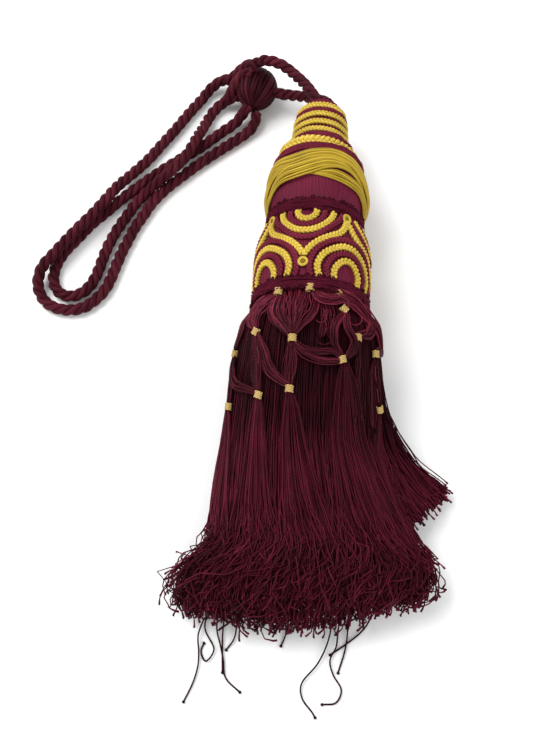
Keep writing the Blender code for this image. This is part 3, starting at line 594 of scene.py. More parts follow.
def wound_knot():
    """The knot's turns, the bends of rope at its sides, and the heart between its turns, dark as painted
    shade where it shows through.
    """
    luck = np.random.default_rng(12)
    lines = []
    for k in range(KNOT_TURNS):
        share = (k + luck.uniform(-KNOT_UNEVEN, KNOT_UNEVEN)) / KNOT_TURNS
        lines.append(knot_turn(share, luck.uniform(-KNOT_SWAY, KNOT_SWAY)))
    tones = [0.02 + 0.5 * luck.uniform() for _ in lines]
    tubes("rope_knot_turns", lines, KNOT_STRAND, KNOT_SIDES, ROPE_SILK, tones, "rope_knot")
    bends = []
    for route in KNOT_BENDS:
        bends += laid_strands(rope_line(route))
    tones = KNOT_BEND_TONES * len(KNOT_BENDS)
    tubes("rope_knot_bends", bends, STRAND_RADIUS, ROPE_SIDES, ROPE_SILK, tones)
    # the heart has no tone, so it takes the silk's darkest colour: painted shade seen between the turns
    bm = bmesh.new()
    bmesh.ops.create_uvsphere(bm, u_segments=24, v_segments=16, radius=1.0)
    bmesh.ops.scale(bm, vec=KNOT_HALF * MM, verts=bm.verts)
    bmesh.ops.rotate(bm, verts=bm.verts, matrix=Matrix.Rotation(math.radians(KNOT_TURN), 3, "Z"))
    bmesh.ops.translate(bm, vec=KNOT_CENTRE * MM, verts=bm.verts)
    place_mesh("rope_knot_heart", mesh_from("rope_knot_heart", bm), ROPE_SILK)


wound_knot()


# ---- head: rings round its axis ----
CAP_PROFILE = [
    (138, 6.9), (135.5, 8.6), (131, 10.8), (126, 13.2), (118, 14), (110.5, 14.4), (105.5, 15.8),
    (102.8, 17.3), (100.4, 18.9), (95, 21.7), (92.4, 24.6), (90, 26.2), (88.3, 27.3)]
BELL_PROFILE = [
    (88, 26.6), (84, 28.1), (78.5, 29), (73, 29.5), (67, 29.6), (61.5, 28.9), (57.5, 27.6), (53.9, 27),
    (50, 26.5)]
DRUM_PROFILE = [
    (49, 26.9), (47.1, 27.8), (43, 28.7), (38, 30.4), (32, 31.7), (25, 32.2), (17, 32), (9, 31.9),
    (3.5, 31.3), (-3, 31.2)]

# plaits round the cap: solid it stands for, y, radius, width, strand radius, pitch
CAP_PLAITS = [
    ("braid_1", 128.2, 14.3, 4.2, 0.9, 6.6), ("braid_2", 120.9, 15.7, 3.9, 0.86, 6.2),
    ("braid_3", 115, 16.1, 3.9, 0.86, 6.2), ("braid_4", 109.3, 16.7, 3.7, 0.84, 6.2),
    ("braid_5", 96.2, 22.3, 7.6, 1.45, 9)]
CAP_LEANS = {"braid_4": 0.5, "braid_5": 1.7}     # how much lower a plait lies at the right
# burgundy cords between them: y, radius, cord radius
CAP_CORDS = [
    (134, 10.2, 1.2), (131.8, 11.4, 1.2), (124.6, 14.7, 1.4), (118, 15.1, 0.8), (112.2, 15.4, 0.8),
    (105.8, 16.8, 1.5), (102.9, 18.9, 1.7), (92.8, 24.9, 1.1), (90.8, 26, 1.2), (88.9, 26.8, 1)]
# a thin cord's width and strands, as shares of its radius, and the pitch of its strands
CORD_WIDTH = 2.6
CORD_STRAND = 0.75
CORD_PITCH = 4.6
RING_STEP = 0.7


def ring_line(y, radius, sway, lean):
    """A closed line round the head; it wanders a little, as sewn cord does, and may lean."""
    count = round(math.tau * radius / RING_STEP)
    angles = np.linspace(180.0, 540.0, count + 1)
    a = np.radians(angles)
    wander = sway * (np.sin(3 * a + y) + 0.6 * np.sin(7 * a + 2 * y))
    return on_head(angles, y + wander - lean * np.sin(a), radius), out_of_head(angles)


def ring_plait(y, radius, width, strand, pitch, sway=0.15, lean=0.0):
    """Strands of a plait that closes on itself round the head."""
    line, out = ring_line(y, radius, sway, lean)
    length = run_along(line)[-1]
    return plait(line, out, width, strand, length / round(length / pitch), start=y)


def cap():
    turned("cap_cover", CAP_PROFILE, CAP_STEPS, CROCHET_SILK, "cap")
    for node, y, radius, width, strand, pitch in CAP_PLAITS:
        strands, tones = ring_plait(y, radius, width, strand, pitch, lean=CAP_LEANS.get(node, 0.0))
        tubes(node + "_plait", strands, strand, PLAIT_SIDES, GOLD_GIMP, tones, node)
    for k, (y, radius, cord) in enumerate(CAP_CORDS):
        strand = cord * CORD_STRAND
        strands, tones = ring_plait(y, radius, cord * CORD_WIDTH, strand, CORD_PITCH)
        tubes("cap_cord_%d" % (k + 1), strands, strand, SMALL_SIDES, GIMP_SILK, tones)


cap()


# ---- wound gold cords on the bell ----
WRAP_CORD = 0.6              # radius of one cord
WRAP_RIPPLE = 0.12           # how far a cord strays from its place in a band
WRAP_CROWN = 0.35            # how much higher a band's middle cords lie
# each band round the head: angle, y of its middle, width, lift above the bell
WRAP_TOP = [
    (-90, 78.5, 9.5, 0.7), (-76, 80.5, 9.5, 0.7), (-66, 81.8, 9.6, 0.7), (-54, 81.4, 8.8, 0.8),
    (-46, 81.1, 8.6, 0.8), (-37, 80.4, 9, 0.8), (-27, 80.6, 9.4, 0.8), (-12, 82.5, 9, 0.8),
    (2, 83.7, 8, 1), (15, 84.2, 7.8, 1.5), (30, 82.8, 8, 2.1), (41, 80.8, 8.2, 2.3),
    (49, 78.2, 8.6, 2.3), (57, 75.2, 8.4, 2.2), (65, 71.6, 7.6, 2), (76, 66.6, 7, 1.8),
    (100, 63.5, 7.4, 1.4), (140, 62.5, 8, 1.2), (190, 64, 8.6, 1.4), (230, 71, 9.4, 0.9)]
WRAP_LEFT = [
    (-90, 58.6, 5.6, 1), (-72, 60.2, 3.6, 1.2), (-64, 62, 4, 1.3), (-54, 65.6, 5.6, 1.6),
    (-45, 68.4, 7.6, 2), (-37, 70, 9.2, 2.2), (-27, 70.6, 9.2, 2.2), (-17, 71.7, 9.2, 2.2),
    (-7, 73.3, 9.2, 2.2), (5, 75.6, 8.2, 2.2), (14, 76.7, 7.2, 2), (22, 77.1, 6, 1.7),
    (31, 76.6, 4.6, 1.3), (41, 75.6, 3.8, 0.9), (50, 74, 4.2, 0.7), (65, 72, 6, 0.6), (100, 71, 8, 0.8),
    (150, 69.5, 8.8, 0.9), (200, 66, 8, 1), (245, 61, 6.6, 0.9)]
WRAP_RIGHT = [
    (-90, 65.5, 9, 0.9), (-76, 69.4, 7.6, 0.7), (-65, 73.2, 6.2, 0.6), (-55, 75.2, 4.6, 0.5),
    (-45, 75.6, 3.6, 0.5), (-30, 73, 4, 0.6), (-15, 71, 3.2, 0.6), (-4, 70, 3.4, 0.6),
    (5, 69.8, 5, 0.7), (13, 69.8, 6.6, 0.8), (21, 69.6, 7.4, 0.9), (30, 69, 7.2, 0.9),
    (40, 68.2, 6.8, 0.9), (47, 67.5, 6.4, 1), (55, 66.2, 6.6, 1), (63, 63.7, 6.4, 1.1),
    (75, 60.2, 6.4, 1.2), (100, 58.6, 7.4, 1.2), (150, 63, 8, 1.4), (210, 68, 9, 1.4)]
# each band's table and how many cords lie in it
WRAPS = {"wrap_top": (WRAP_TOP, 7), "wrap_left": (WRAP_LEFT, 6), "wrap_right": (WRAP_RIGHT, 5)}


def wrap_band(node, table, count):
    """A band of cords that lie side by side round the bell."""
    angles = np.linspace(180.0, 540.0, 145)
    middle, width, lift = around(table, angles)
    lines = []
    for k in range(count):
        share = k / (count - 1) - 0.5
        y = middle + share * (width - 2 * WRAP_CORD)
        ripple = WRAP_RIPPLE * np.sin(np.radians(angles) * 5 + 2.3 * k)
        crown = WRAP_CROWN * (1.0 - 4.0 * share * share)
        lines.append(on_head(angles, y + ripple, profile_radius(BELL_PROFILE, y) + lift + crown))
    tones = [0.45 + 0.2 * math.sin(2.7 * k) for k in range(count)]
    tubes(node + "_cords", lines, WRAP_CORD, WRAP_SIDES, GOLD_CORD, tones, node)


def bell():
    turned("bell_cover", BELL_PROFILE, HEAD_STEPS, SATIN, "bell")
    for node, (table, count) in WRAPS.items():
        wrap_band(node, table, count)


bell()


# ---- crocheted gimps at the waist and the foot ----
# rows of each gimp: y, radius, width, strand radius, pitch
WAIST_ROWS = [(52.6, 28.2, 2.9, 0.55, 4.6), (50.2, 28.6, 2.9, 0.55, 4.2), (48, 28.3, 2.7, 0.55, 4.6)]
FOOT_ROWS = [(1.9, 33, 2.9, 0.55, 4.6), (-0.5, 33.3, 2.9, 0.55, 4.2), (-2.6, 33, 2.7, 0.55, 4.6)]
CROCHET_THREAD = 0.56
# little loops along a gimp's edges: y of the edge, which way they point, radius, how many
WAIST_LOOPS = [(54.6, 1, 28.4, 150), (47, -1, 28.9, 90)]
FOOT_LOOPS = [(3.4, 1, 33.4, 100), (-4, -1, 33.8, 90)]
LOOP_HALF_WIDTH = 0.62
LOOP_HALF_LENGTH = 0.66
LOOP_THREAD = 0.34
LOOP_SIDES = 4
# least and most of how the loops differ: size, tilt, how far in from the edge, how far they stand up
LOOP_SIZES = (0.6, 1.4)
LOOP_TILTS = (-0.9, 0.9)
LOOP_INSETS = (0.3, 1.9)
LOOP_RISES = (0.1, 0.8)


def edge_loops(y, way, radius, count):
    """Small loops of thread in a row round the head."""
    turns = np.linspace(0.0, math.tau, 11)
    luck = np.random.default_rng(round(radius * 10 + y))
    lines = []
    for k in range(count):
        size = luck.uniform(*LOOP_SIZES)
        angle = 360.0 * (k + luck.uniform(-0.5, 0.5)) / count
        tilt = luck.uniform(*LOOP_TILTS)
        foot = y - way * luck.uniform(*LOOP_INSETS)
        along = LOOP_HALF_WIDTH * size * np.sin(turns)
        reach = way * LOOP_HALF_LENGTH * size * (1.0 - np.cos(turns))
        rise = 0.5 * (1.0 - np.cos(turns)) * luck.uniform(*LOOP_RISES)
        angles = angle + np.degrees((along + tilt * reach) / radius)
        lines.append(on_head(angles, foot + reach, radius + rise))
    return lines


def crocheted_gimp(node, rows, loops):
    """A gimp of plaited rows round the head, with loops along both edges."""
    lines, tones = [], []
    for y, radius, width, strand, pitch in rows:
        row, row_tones = ring_plait(y, radius, width, strand, pitch, 0.2)
        lines += row
        tones += row_tones
    tubes(node + "_rows", lines, CROCHET_THREAD, SMALL_SIDES, CROCHET_SILK, tones, node)
    small = []
    for loop in loops:
        small += edge_loops(*loop)
    tones = [0.3 + 0.4 * (k * 0.37 % 1.0) for k in range(len(small))]
    tubes(node + "_loops", small, LOOP_THREAD, LOOP_SIDES, CROCHET_SILK, tones)


crocheted_gimp("waist_gimp", WAIST_ROWS, WAIST_LOOPS)
crocheted_gimp("base_gimp", FOOT_ROWS, FOOT_LOOPS)


# ---- drum and its gimps ----
REPEATS = 4
PATTERN_TURN = -10.0         # angle of the first repeat
MM_PER_DEGREE = math.radians(33.0)       # round the drum, for spacing points evenly
DRUM_STEP = 0.7
GIMP_WIDTH = 4.3
GIMP_STRAND = 0.9
GIMP_PITCH = 6.6
GIMP_LIFT = 0.75
BURGUNDY_WIDTH = 3.8
# half scrolls as (angle from the scroll's middle, y), from the middle outwards; the upper ones hang
# from the waist and the lower ones stand on the foot, half a repeat further round
GOLD_SCROLLS = {
    "upper_outer": [(0, 31.2), (11, 32.7), (22, 37.8), (28, 42.6), (30, 46)],
    "upper_inner": [(0, 39.3), (6, 40.6), (10, 43.6), (10.5, 46.2)],
    "lower_outer": [(0, 24.2), (7, 23.8), (18, 20.8), (27, 16.5), (31.5, 10), (29, 3.6)],
    "lower_inner": [(0, 16), (8, 14.3), (14.5, 9), (14.5, 3.6)]}
BURGUNDY_SCROLLS = {
    "upper_between": [(0, 35.2), (12, 37.5), (18, 41.6), (19.5, 46.2)],
    "upper_around": [(0, 26.8), (12, 28.6), (25, 35), (34, 40), (41, 46)],
    "lower_between": [(0, 20), (8, 19.4), (17, 16), (22.5, 10), (21, 3.6)],
    "lower_around": [(0, 28.3), (11, 27.6), (23, 24.6), (34, 19), (39, 11), (37.5, 3.6)]}
# half a wave of the gold line that runs between them round the drum
WAVE = [(0, 16.6), (5, 20.2), (12.5, 24.3), (21.5, 27.6), (33, 31.3), (39, 35), (44, 40.5)]


def repeat_turn(repeat, half=0):
    """Angle of a repeat of the pattern, and of the place half a repeat past it."""
    return PATTERN_TURN + 360.0 / REPEATS * repeat + 180.0 / REPEATS * half


def whole_scroll(half):
    return [(-angle, y) for angle, y in half[:0:-1]] + half


def on_drum(rows, turn):
    """A smooth line over the drum through rows of angle and y, with its outward directions."""
    flat = np.array([((angle + turn) * MM_PER_DEGREE, y) for angle, y in rows])
    line = smooth_line(np.column_stack([flat, np.zeros(len(flat))]), DRUM_STEP)
    angles = line[:, 0] / MM_PER_DEGREE
    radius = profile_radius(DRUM_PROFILE, line[:, 1]) + GIMP_LIFT
    return on_head(angles, line[:, 1], radius), out_of_head(angles)


def drum_gimp(name, rows, turn, width, yarn, *nodes):
    line, out = on_drum(rows, turn)
    strands, tones = plait(line, out, width, GIMP_STRAND, GIMP_PITCH)
    tubes(name, strands, GIMP_STRAND, PLAIT_SIDES, yarn, tones, *nodes)


def drum():
    turned("drum_cover", DRUM_PROFILE, HEAD_STEPS, SATIN, "drum")
    wave = []
    for repeat in range(REPEATS):
        for part, half in GOLD_SCROLLS.items():
            name = "%s_%d" % (part, repeat + 1)
            turn = repeat_turn(repeat, part.startswith("lower"))
            drum_gimp("gold_" + name, whole_scroll(half), turn, GIMP_WIDTH, GOLD_GIMP, "gimp_" + name)
        for part, half in BURGUNDY_SCROLLS.items():
            name = "burgundy_%s_%d" % (part, repeat + 1)
            turn = repeat_turn(repeat, part.startswith("lower"))
            drum_gimp(name, whole_scroll(half), turn, BURGUNDY_WIDTH, GIMP_SILK)
        wave += [(angle + repeat_turn(repeat), y) for angle, y in whole_scroll(WAVE)]
    wave.append((wave[0][0] + 360.0, wave[0][1]))
    drum_gimp("gold_wave", wave, 0.0, GIMP_WIDTH, GOLD_GIMP, "gimp_wave")


drum()


# ---- rosettes ----
ROSETTE_RADIUS = 2.2
ROSETTE_WIDTH = 1.9          # of the plait that makes its ring
ROSETTE_STRAND = 0.55
ROSETTE_LIFT = 1.2           # height of its middle over the drum's cover
ROSETTE_RISE = 0.3           # of its threads over its middle
COIL_RADIUS = 0.75           # of the coil in its middle
COIL_TONE = 0.15
UPPER_ROSETTE_Y = 43.8
LOWER_ROSETTE_Y = 11.6


def rosette(node, angle, y):
    """A ring of plaited gold with a coiled middle."""
    out = out_of_head(angle)
    middle = on_head(angle, y, profile_radius(DRUM_PROFILE, y) + ROSETTE_LIFT)
    across = np.array([out[2], 0.0, -out[0]])
    down = np.array([0.0, 1.0, 0.0])

    def ring(radius, count):
        turns = np.linspace(0.0, math.tau, count)
        return (middle + radius * np.outer(np.cos(turns), across)
                + radius * np.outer(np.sin(turns), down) + ROSETTE_RISE * out)

    rim = ring(ROSETTE_RADIUS, 33)
    pitch = run_along(rim)[-1] / 5
    lines, tones = plait(rim, np.tile(out, (len(rim), 1)), ROSETTE_WIDTH, ROSETTE_STRAND, pitch)
    lines += [ring(COIL_RADIUS, 13)]
    tones += [COIL_TONE]
    tubes(node + "_button", lines, ROSETTE_STRAND, PLAIT_SIDES, GOLD_GIMP, tones, node)


def rosettes():
    for repeat in range(REPEATS):
        rosette("rosette_lower_%d" % (repeat + 1), repeat_turn(repeat), LOWER_ROSETTE_Y)
        rosette("rosette_upper_%d" % (repeat + 1), repeat_turn(repeat, 1), UPPER_ROSETTE_Y)


rosettes()


# ---- skirt ----
SKIRT_ROOT = -6.4            # y where the skirt's threads leave their backing
SKIRT_TOP = -2.0             # y where the visual threads start, hidden by the foot's gimp
SETTLE_LENGTH = 60.0         # length in which the round skirt settles on the table
WIDEST_SHARE = 0.36          # level of the settled skirt's widest place, as a share of its height
CORNER_SHARE = 0.4           # share of the underside that curves down to the table
# y, left, right, underside, top, and how much further the lower threads flare left and right
SKIRT_STATIONS = [
    (-6.4, -30, 30, 6.4, 63.5, 0, 0), (-16, -37, 38, 5, 64.5, 0, 0), (-30, -40.5, 42, 3, 63, 0, 0),
    (-42, -42, 43.4, 2.2, 60, 0, 0), (-55, -43.2, 44.4, 1.6, 56, 0, 0),
    (-80, -45.2, 47.5, 0.8, 47, 0, 0), (-95, -46.8, 53.5, 0.6, 42.5, 0, 0),
    (-110, -47.8, 60, 0.5, 38.5, 0, 0), (-126, -48.4, 65, 0.5, 35, 0, 5),
    (-133, -49, 66.5, 0.5, 33.5, -1, 10.5), (-142, -52, 67.5, 0.5, 32, 7, 18),
    (-151, -54, 67.5, 0.5, 29.5, 16, 17), (-160, -54, 65, 0.5, 26, 18.5, 9),
    (-184, -50, 54, 0.5, 15, 17, 2)]
THREAD = 0.39                # radius of one thread
THREAD_POINTS = 21
THREAD_SIDES = 3
THREAD_CROWDING = 1.8        # how much closer together a thread's points are towards its end
END_SWELL = 1.75             # size of the knotted end of a thread, as a share of the thread
# layers: name, threads, sizes, half angle they fill, highest and lowest end, share of the flare
SKIRT_LAYERS = [
    ("skirt_upper_threads", 1180, (0.86, 1), 98, -140, -173, 0.25),
    ("skirt_middle_threads", 1060, (0.58, 0.92), 118, -152, -178, 0.75),
    ("skirt_lower_threads", 720, (0.30, 0.98), 180, -156, -178, 1)]
THREAD_TONE = 0.5            # middle tone of the threads, and how much they differ from it
THREAD_TONE_SPREAD = 0.22
# y, and how much lighter the threads are painted there: painted shade under the net, painted light below it
SKIRT_PAINTED_SHADE = [
    (-178, -0.04), (-135, 0), (-112, 0.08), (-98, 0.16), (-86, 0.10), (-76, -0.22), (-64, -0.52),
    (-28, -0.54), (-20, -0.30), (-12, 0), (-2, 0.10)]
EARLY_RIGHT = 24.0           # how much sooner the threads end at each side
EARLY_LEFT = 8.0
EARLY_LEAST = 0.4            # share of that which a layer without flare has
END_CROWDING = 0.6           # below 1, more of a layer's threads end low than high
THREAD_WANDER = 2.2          # how far a thread strays round the skirt, in degrees
WANDER_TURNS = (0.4, 1.3)    # least and most waves of that along a thread
WANDER_GROWTH = 2.0          # how much further the ends stray
FLARE_SHARES = (0.75, 1.0)   # least and most of its layer's flare that a thread has
FRIZZ_START = -108.0         # y where the threads start to curl
FRIZZ_FULL = -146.0
FRIZZ_REACH = 2.3
# the waves that a thread's curls are made of: length and size
FRIZZ_WAVES = ((40.0, 1.4), (23.0, 1.1), (13.0, 0.5))
FRIZZ_LENGTHS = (0.7, 1.35)  # least and most of a wave's length, and of its size, as shares
FRIZZ_SIZES = (0.3, 1.0)
FRIZZ_AXES = (1.0, 0.75, 0.7)            # share of the curls that goes across, along and up
FRIZZ_EARLY = 0.10           # how wide the threads curl, at their ends, before FRIZZ_START
FRIZZ_GROWTH = 1.5           # how late between FRIZZ_START and FRIZZ_FULL the curls widen
WILD_SHARE = 0.22            # of the threads curl WILD_REACH times as far
WILD_REACH = 2.1
# threads that flick out to the right: how many, their angles, and their tips as x and y
FLICK_THREADS = 460
FLICK_ANGLES = (40.0, 104.0)
FLICK_FROM = 0.26            # share of a thread's length where it starts to swing out
FLICK_BEND = 2.05            # how late along it the swing comes
FLICK_SINK = 0.35            # how much lower its tip lies, as a share of its height
FLICK_MIX = 0.12             # how far the order of the tips strays from that of the threads' angles
FLICK_SIZES = (0.55, 1.0)    # squares of the least and most size
FLICK_SHORT = 4.0            # how far tips lie inside the line below, and how far along it they stray
FLICK_STRAY = 2.2
FLICK_SLANT = 0.4            # how much they stray with their distance from FLICK_MIDDLE, in x
FLICK_SLANT_RANGE = (-0.3, 0.3)
FLICK_MIDDLE = 75.0
FLICK_FRIZZ = 0.75           # how wide the tips curl
FLICK_TIPS = [(60, -121.5), (65.5, -116.5), (70.5, -111), (76, -105), (81.5, -99.5), (85, -95)]


def in_skirt(size, angle, y, flare=1.0):
    """Places in the skirt at y, from a thread's size, 1 at the skirt's outside, and its angle.

    Near the backing the section is round; towards the ends it settles into a low mound.
    """
    ys, *columns = (np.array(column)[::-1] for column in zip(*SKIRT_STATIONS))
    left, right, under, top, flare_left, flare_right = (np.interp(y, ys, column) for column in columns)
    left = left - flare * flare_left
    right = right + flare * flare_right
    settled = np.clip((SKIRT_ROOT - y) / SETTLE_LENGTH, 0.0, 1.0)
    settled = settled * settled * (3 - 2 * settled)
    angle = (angle + 180.0) % 360.0 - 180.0
    a = np.radians(angle)
    height = top - under
    round_x = size * np.sin(a)
    round_z = under + height * (1.0 + size * np.cos(a)) / 2
    widest = height * WIDEST_SHARE
    past = np.abs(angle) / 90.0 - 1.0
    drop = np.sin(np.clip(past / CORNER_SHARE, 0.0, 1.0) * math.pi / 2)
    flat_x = np.where(past <= 0.0, round_x, np.sign(a) * size * (1.0 - past))
    flat_z = under + np.where(past <= 0.0, widest + (height - widest) * size * np.cos(a),
                              widest * (1.0 - size * drop))
    x = (left + right) / 2 + (round_x + (flat_x - round_x) * settled) * (right - left) / 2
    return np.stack([x, y + 0.0 * x, round_z + (flat_z - round_z) * settled], axis=-1)


def frizz(luck, line, reach):
    """Curl threads across and up; reach is how wide the curls are at each point."""
    count = len(line)
    run = SKIRT_TOP - line[..., 1]
    wild = np.where(luck.uniform(0, 1, (count, 1)) < WILD_SHARE, WILD_REACH, 1.0)
    for axis, share in enumerate(FRIZZ_AXES):
        out = np.zeros(run.shape)
        for wave, size in FRIZZ_WAVES:
            lengths = wave * luck.uniform(*FRIZZ_LENGTHS, (count, 1))
            sizes = size * luck.uniform(*FRIZZ_SIZES, (count, 1))
            out += sizes * np.sin(math.tau * (run / lengths + luck.uniform(0, 1, (count, 1))))
        line[..., axis] += share * (out * reach * wild)
    line[..., 2] = np.maximum(line[..., 2], THREAD)
    return line


def frizz_reach(y, share):
    """How wide the threads curl at y: hardly at all, then more and more from FRIZZ_START on."""
    curling = np.clip((FRIZZ_START - y) / (FRIZZ_START - FRIZZ_FULL), 0.0, 1.0)
    return FRIZZ_EARLY * share + FRIZZ_REACH * curling ** FRIZZ_GROWTH


def tones_with_painted_shade(luck, lines, shade):
    """A tone for each thread, changed along it by a table of y and how much lighter it is there, which
    paints shade and light onto the threads.
    """
    ys, painted_lighter = np.array(shade).T
    tones = []
    for line in lines:
        tone = luck.normal(THREAD_TONE, THREAD_TONE_SPREAD) + np.interp(line[:, 1], ys, painted_lighter)
        tones.append(np.clip(tone, 0.0, 1.0))
    return tones


def fringe(name, lines, luck, shade, *nodes):
    """A piece of skirt threads, each with a knotted end."""
    swell = np.ones(THREAD_POINTS)
    swell[-2:] = END_SWELL
    # the table of y paints shade and light along each thread
    tones = tones_with_painted_shade(luck, lines, shade)
    tubes(name, list(lines), THREAD, THREAD_SIDES, SKIRT_SILK, tones, *nodes, taper=swell)


def shares():
    """Places of the points along a thread, closer together towards its end."""
    return 1.0 - (1.0 - np.linspace(0.0, 1.0, THREAD_POINTS)) ** THREAD_CROWDING


def skirt_layer(name, count, sizes, half_angle, high, low, flare, luck):
    """A layer of threads, from the backing to ends between high and low."""
    size = np.sqrt(luck.uniform(sizes[0] ** 2, sizes[1] ** 2, (count, 1)))
    angle = luck.uniform(-half_angle, half_angle, (count, 1))
    side = np.sin(np.radians(np.clip(angle, -90, 90)))
    early = np.where(side > 0, EARLY_RIGHT, EARLY_LEFT) * side ** 2
    early = early * (EARLY_LEAST + (1.0 - EARLY_LEAST) * flare)
    end = high + (low - high) * luck.uniform(0, 1, (count, 1)) ** END_CROWDING + early
    share = shares()
    y = SKIRT_TOP + (end - SKIRT_TOP) * share
    turns = share * luck.uniform(*WANDER_TURNS, (count, 1)) + luck.uniform(0, 1, (count, 1))
    wander = THREAD_WANDER * share * np.sin(math.tau * turns)
    own_flare = flare * luck.uniform(*FLARE_SHARES, (count, 1))
    line = in_skirt(size, angle + wander * (1.0 + WANDER_GROWTH * share), y, own_flare)
    fringe(name, frizz(luck, line, frizz_reach(y, share)), luck, SKIRT_PAINTED_SHADE, "skirt")


def skirt_flick(luck):
    """Threads at the right that swing out and end early."""
    count = FLICK_THREADS
    place = luck.uniform(0, 1, (count, 1))
    spread = np.clip(place + luck.normal(0, FLICK_MIX, (count, 1)), 0, 1)
    angle = FLICK_ANGLES[0] + (FLICK_ANGLES[1] - FLICK_ANGLES[0]) * spread
    size = np.sqrt(luck.uniform(*FLICK_SIZES, (count, 1)))
    stops = np.linspace(0, 1, len(FLICK_TIPS))
    tip_x, tip_y = (np.interp(place[:, 0], stops, column) for column in zip(*FLICK_TIPS))
    tip_x = tip_x - np.abs(luck.normal(0, FLICK_SHORT, count))
    tip_y = tip_y + luck.normal(0, FLICK_STRAY, count)
    slant = FLICK_SLANT * (tip_x - FLICK_MIDDLE)
    tip_y = tip_y + slant * luck.uniform(*FLICK_SLANT_RANGE, count)
    share = shares()
    y = SKIRT_TOP + (tip_y[:, None] - SKIRT_TOP) * share
    line = in_skirt(size, angle, y)
    bend = np.clip((share - FLICK_FROM) / (1.0 - FLICK_FROM), 0, 1)[None, :] ** FLICK_BEND
    line[..., 0] += (tip_x[:, None] - line[:, -1:, 0]) * bend
    line[..., 2] = line[..., 2] * (1 - FLICK_SINK * bend)
    line = frizz(luck, line, FRIZZ_EARLY * share + FLICK_FRIZZ * share ** 4)
    fringe("skirt_flick_threads", line, luck, SKIRT_PAINTED_SHADE)


# single threads that trail on the table past the ends: x and y of each
LOOSE_THREADS = [
    [(-44, -160), (-45.3, -173), (-44.7, -179), (-39.5, -187.6), (-43.2, -194), (-46.3, -189.6),
     (-45.2, -185)],
    [(-46, -172), (-48.5, -181), (-47.4, -189.6), (-47.2, -196.6), (-49, -205), (-53, -214.7)],
    [(-38, -162), (-39, -176), (-36, -186), (-34, -193), (-32, -201.5), (-24, -208)],
    [(-35, -165), (-35.5, -180), (-34, -199)],
    [(23, -165), (21, -179), (16, -191), (8.3, -201), (8.7, -208.5), (14.3, -215), (16, -217.5)],
    [(27, -162), (26, -174), (25.3, -182), (22.4, -189), (24.4, -196), (29, -203), (26.5, -209.6),
     (19.3, -211)],
    [(31, -162), (31, -175.5), (30, -184), (27, -195)],
    [(46, -152), (43, -166), (38.4, -173.5), (30, -180.7), (22.3, -186.3)],
    [(0, -165), (-1.7, -177), (-4, -183.6)],
    [(-28, -168), (-29, -180.7), (-33, -187.6)]]
LOOSE_THREAD = 0.48
LOOSE_HEIGHT = 3.0           # where they leave the skirt; they end on the table
LOOSE_STEP = 0.8
END_KNOT = 0.95              # radius of the tiny knot at a loose thread's end
KNOT_RISE = 0.3


def loose_threads():
    """Trailing threads, each with a tiny knot at its end."""
    lines = []
    for row in LOOSE_THREADS:
        heights = np.linspace(LOOSE_HEIGHT, THREAD + 0.1, len(row))
        lines.append(smooth_line([(x, y, z) for (x, y), z in zip(row, heights)], LOOSE_STEP))
    tones = [0.0] * len(lines)
    tubes("loose_threads", lines, LOOSE_THREAD, SMALL_SIDES, SKIRT_SILK, tones)
    bm = bmesh.new()
    for line in lines:
        spot = Matrix.Translation(Vector(line[-1] + np.array([0, 0, KNOT_RISE])) * MM)
        bmesh.ops.create_icosphere(bm, subdivisions=1, radius=END_KNOT * MM, matrix=spot)
    place_mesh("thread_knots", mesh_from("thread_knots", bm), SKIRT_SILK)


def skirt():
    for k, layer in enumerate(SKIRT_LAYERS):
        skirt_layer(*layer, np.random.default_rng(40 + k))
    skirt_flick(np.random.default_rng(50))
    loose_threads()


skirt()


# ---- knotted net over the skirt ----
NET_THREAD = 0.31
NET_STEP = 2.0
BUNDLE_FLATNESS = 0.32       # half thickness of a bundle, as a share of its width
THICKEST_SHARED = 3.6        # width past which a bundle gets no thicker
BUNDLE_WAVE = 0.10           # how far a thread waves and bows in its bundle, as shares of its width
BUNDLE_BOW = 0.16
BUNDLE_WAVE_LENGTHS = (9, 22)
BINDING_THREAD = 0.42
BINDING_RINGS = 6
BINDING_HALF = 2.0           # half length of a binding along its bundle
BINDING_WIDTH = 4.7
BINDING_FLATNESS = 0.74
BINDING_BUMPS = 6            # bumps round each ring, and how far they stand out
BINDING_BUMP = 0.16
BINDING_HOLLOW = 0.06        # how much wider its ends are than its middle, as a share
BINDING_TONE = 0.5
BINDING_PAINTED_LIGHT = 2.6          # how much brighter it is painted for each millimetre that a bump stands out: painted highlight on the bumps, painted shade between them
ANGLE_LENGTH = 0.62          # length of a degree round the skirt, for spacing points
# y, and how much lighter the net's threads and loose ends are painted there: painted light near the band,
# painted shade lower on the net
NET_PAINTED_SHADE = [(-178, 0), (-90, 0.08), (-72, -0.08), (-60, -0.28), (-32, -0.32), (-22, 0), (-8, 0.12)]
# gold bindings: angle, y, lift above the skirt, and how far each is turned
FRONT_KNOTS = [
    (-32, -4.6, 3.8, 8), (-2, -3.6, 4.2, -6), (26, -4.6, 3.4, -10), (-73, -33.2, 0.9, 4),
    (-42, -26.5, 3, 24), (-12, -32.2, 3.4, -4), (25, -13.8, 4.4, -34), (35, -27.5, 3, 10),
    (58, -31.5, 1.2, 6), (-63, -63, 2.4, 0), (-32, -60.2, 3.2, 8), (-11, -57.8, 3.2, 0),
    (22, -40.8, 3.4, -14), (63, -59, 1.2, -22)]
